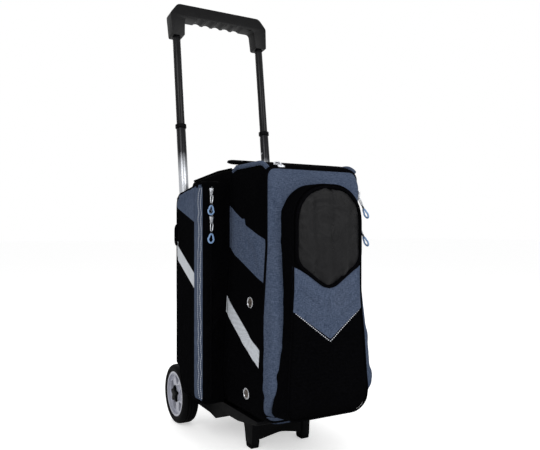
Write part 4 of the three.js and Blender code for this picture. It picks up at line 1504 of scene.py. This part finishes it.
def softened_slider(name: str, centre: Vector, out: Vector, along: Vector = Vector((0, 0, 1))) -> bpy.types.Object:
    """A zip slider: a waisted metal body with a bridge on top.

    Args:
        name: The piece's name.
        centre: Its middle.
        out: Direction away from the tape.
        along: The zip's direction.

    Returns:
        The slider as one mesh.
    """
    deselect()
    side = along.cross(out).normalized()
    bm = bmesh.new()
    layers = []
    for w, scale in ((-0.003, 1.0), (0.0, 1.0), (0.0008, 0.86)):
        ring = []
        for u, v in ((-4.6, 7), (4.6, 7), (4.9, 3), (3.4, -2), (3.6, -7), (-3.6, -7), (-3.4, -2), (-4.9, 3)):
            ring.append(bm.verts.new(centre + side * u * scale / 1000 + along * v * scale / 1000 + out * w))
        layers.append(ring)
    for a, b in zip(layers, layers[1:]):
        for k in range(8):
            bm.faces.new((a[k], a[(k + 1) % 8], b[(k + 1) % 8], b[k]))
    bm.faces.new(layers[0][::-1])
    bm.faces.new(layers[-1])
    bmesh.ops.recalc_face_normals(bm, faces=bm.faces)
    base = from_bmesh(bm, name)
    apply_modifier(base, "BEVEL", width=0.0006, segments=2, limit_method="ANGLE", angle_limit=math.radians(30))
    bow = ((5.2, 0.5), (4.6, 2.2), (2.5, 3.0), (-2.5, 3.0), (-4.6, 2.2), (-5.2, 0.5))
    arc = [centre + along * v / 1000 + out * w / 1000 for v, w in bow]
    bridge = tube_along(f"{name}_bridge", arc, 1.0)
    return shade(joined([base, bridge], name), 35)


def pull_pair(name: str, top: Vector, out: Vector, body: str, lean: float = 0.0, drift: float = 0.0) -> None:
    """A zip pull: a silver link, a black cord and a light blue moulded hook.

    Args:
        name: The CAD node that it stands for.
        top: Where it hangs from the slider.
        out: Direction away from the bag.
        body: The CAD body that it swings with.
        lean: How far it stands off per unit of drop.
        drift: How far it swings aside per unit of drop.
    """
    side = Vector((0, 0, 1)).cross(out).normalized()

    def loop(shape: Sequence[Point]) -> list[Vector]:
        """The shape's points beside and below the top."""
        return [top + (side * (u - drift * v) + Vector((0, 0, v)) - out * lean * v) / 1000 for u, v in shape]

    link = loop([(0, 0.4), (2.4, -0.8), (2.9, -4), (2.2, -12), (1.8, -15.2), (0, -16.4),
                 (-1.8, -15.2), (-2.2, -12), (-2.9, -4), (-2.4, -0.8)])
    dress(tube_along(f"{name}_link", link, 1.15, True), ZIP_METAL, Slot.STEEL, body)
    cord = loop([
        (0, -15), (1.5, -16.2), (1.9, -19), (1.7, -22.4), (0, -23.6), (-1.7, -22.4), (-1.9, -19), (-1.5, -16.2),
    ])
    dress(tube_along(f"{name}_cord", cord, 1.0, True), CORD_BLACK, Slot.CORD, body)
    hook = []
    for k in range(24):
        angle = math.tau * k / 24
        hook.append((6.4 * math.sin(angle) * (1.0 if math.cos(angle) < 0 else 0.72), -31.5 + 9.2 * math.cos(angle)))
    ring = tube_along(f"{name}_loop", loop(hook), 1.9, True)
    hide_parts(name)
    dress(ring, PULL_BLUE, Slot.CORD, body)


@dataclass
class SidePocket:
    """A side pocket with its outer panel, cuts, stitches, zip and rear loop, left and its mirror image."""

    wall: float = 2.8
    panel_wall: float = 2.4
    band: Sequence[Point] = ((28.5, 104), (62, 104), (62, 562), (28.5, 562))
    corner: Sequence[Point] = ((64, 482), (180, 520), (180, 541), (64, 558))
    stripe: Sequence[Point] = ((64, 340), (180, 406), (180, 438), (64, 371))
    seam_rows: Sequence[tuple[str, float]] = (("rear", 42.0), ("front", 34.0))
    seam_ends: tuple[float, float] = (108.0, 556.0)
    zip_x: float = 149.0
    tape_y: float = 21.4
    teeth_y: float = 19.2
    teeth_ends: tuple[float, float] = (478.0, 555.0)
    slider_y: float = 18.7
    pull_y: float = 17.7
    slider_tops: Sequence[float] = (552.0, 493.0)

    def build(self) -> None:
        """Makes the left pocket and copies it to the right."""
        shell = Loft(
            SIDE_OUTLINE, lambda y, z: half_width(z) + 0.8, lambda y, z: SIDE_OUT - 0.2,
            lambda y, z, w: at(-w, y, z), rounding=5, depth_steps=8, capped=False, rim=0.6, spacing=7,
        ).build("side_pocket_shell_left")
        relax(shell, 2)
        Stuffing(pressure=3.0, cap=3.0, slack=0.02).run(shell, self.shell_free)
        thicken(shell, self.wall)
        self.pair(shell, BLACK, Slot.BLACK, "bag", "side_pocket")
        outline = [(p.x, p.y, 0) for p in inward(rounded_ring(SIDE_OUTLINE, 7), 5.2)]
        panel = Loft(
            outline, lambda y, z: SIDE_OUT - 3.4, lambda y, z: SIDE_OUT + 0.6,
            lambda y, z, w: at(-w, y, z), rounding=2.5, depth_steps=1, cap_steps=15, spacing=6,
        ).build("side_door_cloth_left")
        relax(panel, 1)
        Stuffing(pressure=4.0, cap=4.0, slack=0.02).run(
            panel, lambda p: smooth(-SIDE_OUT + 2.4, -SIDE_OUT - 0.4, p.x * 1000))
        thicken(panel, self.panel_wall)
        surface = Surface(panel)
        self.trim(surface)
        self.pair(panel, BLACK, Slot.BLACK, "side_door", "side_panel")
        self.zip_and_pulls()
        self.rear_loop()

    @staticmethod
    def shell_free(p: Vector) -> float:
        """The gusset walls puff between the body and the outer edge."""
        out = -p.x * 1000
        base = half_width(p.z * 1000)
        return smooth(base + 2, base + 14, out) * (1 - smooth(SIDE_OUT - 14, SIDE_OUT - 4, out))

    def pair(self, left: bpy.types.Object, finish: Cloth | Hard, slot: Slot, body: str, node: str | None) -> None:
        """Dresses a left piece and its mirror image.

        Args:
            left: The left piece.
            finish: The finish of both.
            slot: The slot of both.
            body: The body they ride on; a side_door body gets its side's name.
            node: The CAD node they stand for without its side, or None.
        """
        right = mirrored(left, left.name.replace("left", "right"))
        for piece, label in ((left, "left"), (right, "right")):
            if node:
                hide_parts(f"{node}_{label}")
            dress(piece, finish, slot, body if body == "bag" else f"{body}_{label}")

    def trim(self, surface: Surface) -> None:
        """The blue front band, top corner, silver stripe and two rows of stitches on the outer panel."""
        for name, outline, finish, slot in (
            ("panel_band_left", self.band, BLUE, Slot.BLUE), ("panel_corner_left", self.corner, BLUE, Slot.BLUE),
            ("panel_stripe_left", self.stripe, REFLECTIVE, Slot.BLUE),
        ):
            cut = Applique(name, outline, Axis.FROM_LEFT, finish, slot, thick=0.8).build(surface)
            self.pair(cut, finish, slot, "side_door", None)
            if name == "panel_band_left":
                sewn = Surface(cut)
                for label, y in self.seam_rows:
                    path = [(y, z) for z in self.seam_ends]
                    row = stitch_row(f"band_stitches_{label}_left", sewn, Axis.FROM_LEFT, path)
                    self.pair(row, THREAD, Slot.BLUE, "side_door", None)
        border = [at(-SIDE_OUT + 0.4, p.x, p.y) for p in inward(rounded_ring(SIDE_OUTLINE, 6), 3.8)]
        self.pair(tube_along("side_door_zip_tape_left", border, 1.9, True), WEBBING, Slot.BLACK, "side_door", None)

    def zip_and_pulls(self) -> None:
        """The zip on the front wall of the pocket with its sliders, and the pulls below them."""
        out = Vector((0, -1, 0))
        line = [at(-self.zip_x, self.tape_y, z) for z in range(110, 557, 6)]
        tape = tube_along("side_zip_tape_left", line, 2.4)
        self.pair(tape, WEBBING, Slot.BLACK, "bag", None)
        ends = [at(-self.zip_x, self.teeth_y, z) for z in self.teeth_ends]
        teeth = block_row("side_zip_teeth_left", ends, Vector((1, 0, 0)), out, (3.4, 1.5, 1.6), 2.3)
        self.pair(teeth, ZIP_METAL, Slot.STEEL, "bag", "side_zip")
        for i, top in enumerate(self.slider_tops):
            slider = softened_slider(f"side_slider_{i + 1}_left", at(-self.zip_x, self.slider_y, top - 7), out)
            self.pair(slider, ZIP_METAL, Slot.STEEL, "bag", None)
            for side, label in ((-1, "left"), (1, "right")):
                name = f"side_pull_{i + 1}_{label}"
                pull_pair(name, at(side * self.zip_x, self.pull_y, top - 15.1), out, name, 0.16, side * 0.12)

    def rear_loop(self) -> None:
        """The webbing loop on the rear wall."""
        for label in ("left", "right"):
            loop = copy_node(f"rear_loop_{label}", f"rear_loop_webbing_{label}")
            apply_modifier(loop, "BEVEL", width=0.0009, segments=2, limit_method="ANGLE", angle_limit=0.6)
            shade(loop, 40)
            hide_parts(f"rear_loop_{label}")
            dress(loop, WEBBING, Slot.BLACK, "bag")


@dataclass
class CarryHandle:
    """The padded carry handle on the roof and the webbing that holds it."""

    voxel: float = 2.2

    def build(self) -> None:
        """Makes the soft handle and its webbing."""
        handle = copy_node("carry_handle", "carry_handle_pad")
        apply_modifier(handle, "REMESH", mode="VOXEL", voxel_size=self.voxel / 1000)
        apply_modifier(handle, "SMOOTH", factor=0.5, iterations=8)
        Stuffing(pressure=4.0, cap=1.6, slack=0.01).run(handle, lambda p: smooth(-56, -42, p.y * 1000))
        shade(handle, 60)
        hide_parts("carry_handle")
        dress(handle, BLACK, Slot.BLACK, "carry_handle")
        strap = copy_node("carry_strap", "carry_webbing")
        apply_modifier(strap, "BEVEL", width=0.0007, segments=2, limit_method="ANGLE", angle_limit=0.6)
        shade(strap, 40)
        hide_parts("carry_strap")
        dress(strap, WEBBING, Slot.BLACK, "bag")


@dataclass
class Undercarriage:
    """Chassis, feet, axle, spacers and the two wheels."""

    centre: Vector = field(default_factory=lambda: at(0, WHEEL_Y, WHEEL_Z))
    # painted shade: a black disc behind the spokes, seen through the rim's holes
    backing: Sequence[Point] = ((19.6, 131.2), (47.4, 131.2), (47.4, 133.2), (19.6, 133.2))
    near: float = 115.6
    far: float = 155.6
    grooves: Sequence[float] = (12.5, 20.0, 27.5)
    star_layers: Sequence[Point] = ((150.3, 1.0), (154.2, 1.0), (156.0, 0.8))
    star_steps: int = 40
    star_points: int = 5

    def build(self) -> None:
        """Makes the chassis pieces and both wheels."""
        dress(softened_node("base_chassis", "chassis", 1.6), PLASTIC, Slot.PLASTIC, "bag")
        for label in ("left", "right"):
            dress(softened_node(f"foot_{label}", f"foot_pad_{label}", 1.2), RUBBER, Slot.RUBBER, "bag")
            self.wheel(label)
        for node in ("axle", "axle_spacer_left", "axle_spacer_right"):
            finish = (STEEL, Slot.STEEL) if node == "axle" else (PLASTIC, Slot.PLASTIC)
            dress(softened_node(node, f"{node}_turned", 0.6), *finish, "bag")

    def wheel(self, label: str) -> None:
        """One wheel: grooved tyre, five-spoke rim with a black disc behind the spokes as painted shade, bush and star
        hub.

        Args:
            label: left or right.
        """
        side = -1 if label == "left" else 1
        body = f"wheel_{label}"
        near, far = self.near, self.far
        profile = [(53.3, near + 2), (58, near + 0.3), (63, near + 0.6), (67, near + 3), (69.4, near + 7)]
        for groove in (near + offset for offset in self.grooves):
            profile += [(70, groove - 1.6), (68.2, groove - 0.8), (68.2, groove + 0.8), (70, groove + 1.6)]
        profile += [(69.4, far - 7), (67, far - 3), (63, far - 0.6), (58, far - 0.3), (53.3, far - 2)]
        tyre = lathe(f"tyre_tread_{label}", [(r, side * x) for r, x in profile], self.centre, 96)
        shade(tyre, 40)
        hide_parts(f"tyre_{label}")
        dress(tyre, TYRE, Slot.TYRE, body)
        rim = softened_node(f"rim_{label}", f"rim_spokes_{label}", 1.5, segments=3)
        dress(rim, RIM, Slot.RIM, body)
        dress(softened_node(f"wheel_bush_{label}", f"wheel_bush_turned_{label}", 0.4), PLASTIC, Slot.PLASTIC, body)
        dress(self.star(label, side), PLASTIC, Slot.PLASTIC, body)
        # painted shade: the black disc behind the spokes
        backing = lathe(f"rim_backing_{label}", [(r, side * x) for r, x in self.backing], self.centre)
        dress(shade(backing), PLASTIC, Slot.PLASTIC, body)

    def star(self, label: str, side: int) -> bpy.types.Object:
        """The dark five-pointed hub cover.

        Args:
            label: left or right.
            side: -1 on the left, 1 on the right.

        Returns:
            The star, undressed.
        """
        bm = bmesh.new()
        layers = []
        for x, scale in self.star_layers:
            ring = []
            for k in range(self.star_steps):
                angle = math.tau * k / self.star_steps
                radius = (14.5 + 6.5 * max(math.cos(self.star_points * angle), -0.4)) * scale
                ring.append(bm.verts.new((
                    side * x / 1000, self.centre.y + radius * math.sin(angle) / 1000,
                    self.centre.z + radius * math.cos(angle) / 1000,
                )))
            layers.append(ring)
        for a, b in zip(layers, layers[1:]):
            for k in range(self.star_steps):
                j = (k + 1) % self.star_steps
                bm.faces.new((a[k], a[j], b[j], b[k]))
        bm.faces.new(layers[0])
        bm.faces.new(layers[-1])
        bmesh.ops.recalc_face_normals(bm, faces=bm.faces)
        star = from_bmesh(bm, f"hub_star_{label}")
        apply_modifier(star, "BEVEL", width=0.0006, segments=2, limit_method="ANGLE", angle_limit=math.radians(35))
        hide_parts(f"hub_cap_{label}")
        return shade(star, 35)


@dataclass
class TelescopicHandle:
    """Foot bar, bracket, tubes, collars, pins, grip and button."""

    def build(self) -> None:
        """Gives every piece rounded edges and its finish."""
        for node, body, finish, slot, bevel in (
            ("back_board", "bag", PLASTIC, Slot.PLASTIC, 1.0),
            ("handle_foot_bar", "bag", PLASTIC, Slot.PLASTIC, 1.5),
            ("handle_top_bracket", "bag", PLASTIC, Slot.PLASTIC, 1.6),
            ("grip", "handle_upper", GRIP_PLASTIC, Slot.GRIP, 3.2),
            ("release_button", "release_button", RUBBER, Slot.GRIP, 1.4),
        ):
            dress(softened_node(node, f"{node}_moulded", bevel, segments=4), finish, slot, body)
        for label in ("left", "right"):
            for node, body, finish, slot in (
                (f"handle_housing_{label}", "bag", TUBE, Slot.TUBE),
                (f"lower_tube_{label}", "handle_lower", ReflectionPaintedTube(), Slot.TUBE),
                (f"stage_collar_{label}", "handle_lower", PLASTIC, Slot.PLASTIC),
                (f"stage_pin_{label}", "handle_lower", STEEL, Slot.STEEL),
                (f"upper_tube_{label}", "handle_upper", TUBE, Slot.TUBE),
            ):
                dress(softened_node(node, f"{node}_drawn", 0.3, segments=2, angle=50), finish, slot, body)


@dataclass
class Inside:
    """Tray, shelf and foam cups, seen when the door is open."""

    def build(self) -> None:
        """Gives the inner pieces rounded edges and their finish."""
        for node, finish, slot, bevel in (
            ("ball_tray", PLASTIC, Slot.PLASTIC, 0.8), ("ball_shelf", PLASTIC, Slot.PLASTIC, 0.8),
            ("ball_cup_lower", FOAM, Slot.FOAM, 2.0), ("ball_cup_upper", FOAM, Slot.FOAM, 2.0),
        ):
            piece = softened_node(node, f"{node}_made", bevel, segments=2)
            dress(piece, finish, slot, "bag")


@dataclass
class Studio:
    """Floor, lights, world and camera."""

    eye: Vector = field(default_factory=lambda: Vector((-0.6486, -1.1917, 0.4598)))
    turn: float = -29.2
    lens: float = 39.47
    shift: float = 0.013
    sky: float = 0.52
    floor_size: float = 60.0
    floor_tone: float = 0.93
    floor_glow: float = 0.5

    def build(self) -> None:
        """Makes the studio."""
        self.floor()
        self.world()
        for name, place, size, power, aim in (
            ("key", (-1.9, -1.6, 2.1), 1.6, 30.0, (0, 0, 0.4)),
            ("front", (0.9, -2.4, 1.5), 1.6, 26.0, (0, 0, 0.35)),
            ("rear", (0.6, 2.2, 2.0), 1.8, 26.0, (0, 0, 0.5)),
        ):
            data = bpy.data.lights.new(name, "AREA")
            data.size, data.energy = size, power
            lamp = bpy.data.objects.new(name, data)
            bpy.context.scene.collection.objects.link(lamp)
            lamp.location = place
            lamp.rotation_euler = (Vector(aim) - Vector(place)).to_track_quat("-Z", "Y").to_euler()
        data = bpy.data.cameras.new("camera")
        data.lens, data.sensor_width, data.shift_y = self.lens, 36.0, self.shift
        camera = bpy.data.objects.new("camera", data)
        bpy.context.scene.collection.objects.link(camera)
        camera.location = self.eye
        camera.rotation_euler = (math.radians(90), 0, math.radians(self.turn))
        bpy.context.scene.camera = camera
        bpy.context.scene.view_settings.view_transform = "Standard"

    def world(self) -> None:
        """White where the camera sees it, straight or through glass, and softer as light."""
        world = bpy.data.worlds.new("studio")
        bpy.context.scene.world = world
        world.use_nodes = True
        nodes = Nodes(world.node_tree)
        tree = world.node_tree
        light = nodes.new("LightPath")
        seen = nodes.math("MAXIMUM", light.outputs["Is Camera Ray"], light.outputs["Is Transmission Ray"])
        plain = tree.nodes["Background"]
        plain.inputs[0].default_value = (1, 1, 1, 1)
        plain.inputs[1].default_value = self.sky
        white = nodes.new("Background", None, _0=(1, 1, 1, 1), _1=1.0)
        mixed = nodes.new("MixShader", None, _0=seen, _1=plain.outputs[0], _2=white.outputs[0])
        tree.links.new(mixed.outputs[0], tree.nodes["World Output"].inputs[0])

    def floor(self) -> None:
        """A plain pale floor that keeps the object's shadow."""
        deselect()
        bpy.ops.mesh.primitive_plane_add(size=self.floor_size, location=(0, 0, 0))
        floor = bpy.context.active_object
        floor.name = "floor"
        finish = bpy.data.materials.new("pale floor")
        finish.use_nodes = True
        tree = finish.node_tree
        nodes = Nodes(tree)
        shader = tree.nodes["Principled BSDF"]
        shader.inputs["Base Color"].default_value = (self.floor_tone, self.floor_tone, self.floor_tone, 1)
        shader.inputs["Roughness"].default_value = 0.9
        light = nodes.new("LightPath")
        glow = nodes.new("Emission", None, _0=(1, 1, 1, 1), _1=self.floor_glow)
        added = nodes.new("AddShader", None, _0=shader.outputs[0], _1=glow.outputs[0])
        seen = light.outputs["Is Camera Ray"]
        mixed = nodes.new("MixShader", None, _0=seen, _1=shader.outputs[0], _2=added.outputs[0])
        tree.links.new(mixed.outputs[0], tree.nodes["Material Output"].inputs[0])
        floor.data.materials.append(finish)


def main() -> None:
    """Builds the studio and every sub-assembly in order."""
    logging.basicConfig(level=logging.INFO, format="%(name)s: %(message)s")
    deselect()
    for part in (
        Studio(), Undercarriage(), TelescopicHandle(), Inside(), FabricBody(), FrontDoor(), SidePocket(), CarryHandle(),
    ):
        log.info("building %s", type(part).__name__)
        part.build()


if __name__ == "__main__":
    main()
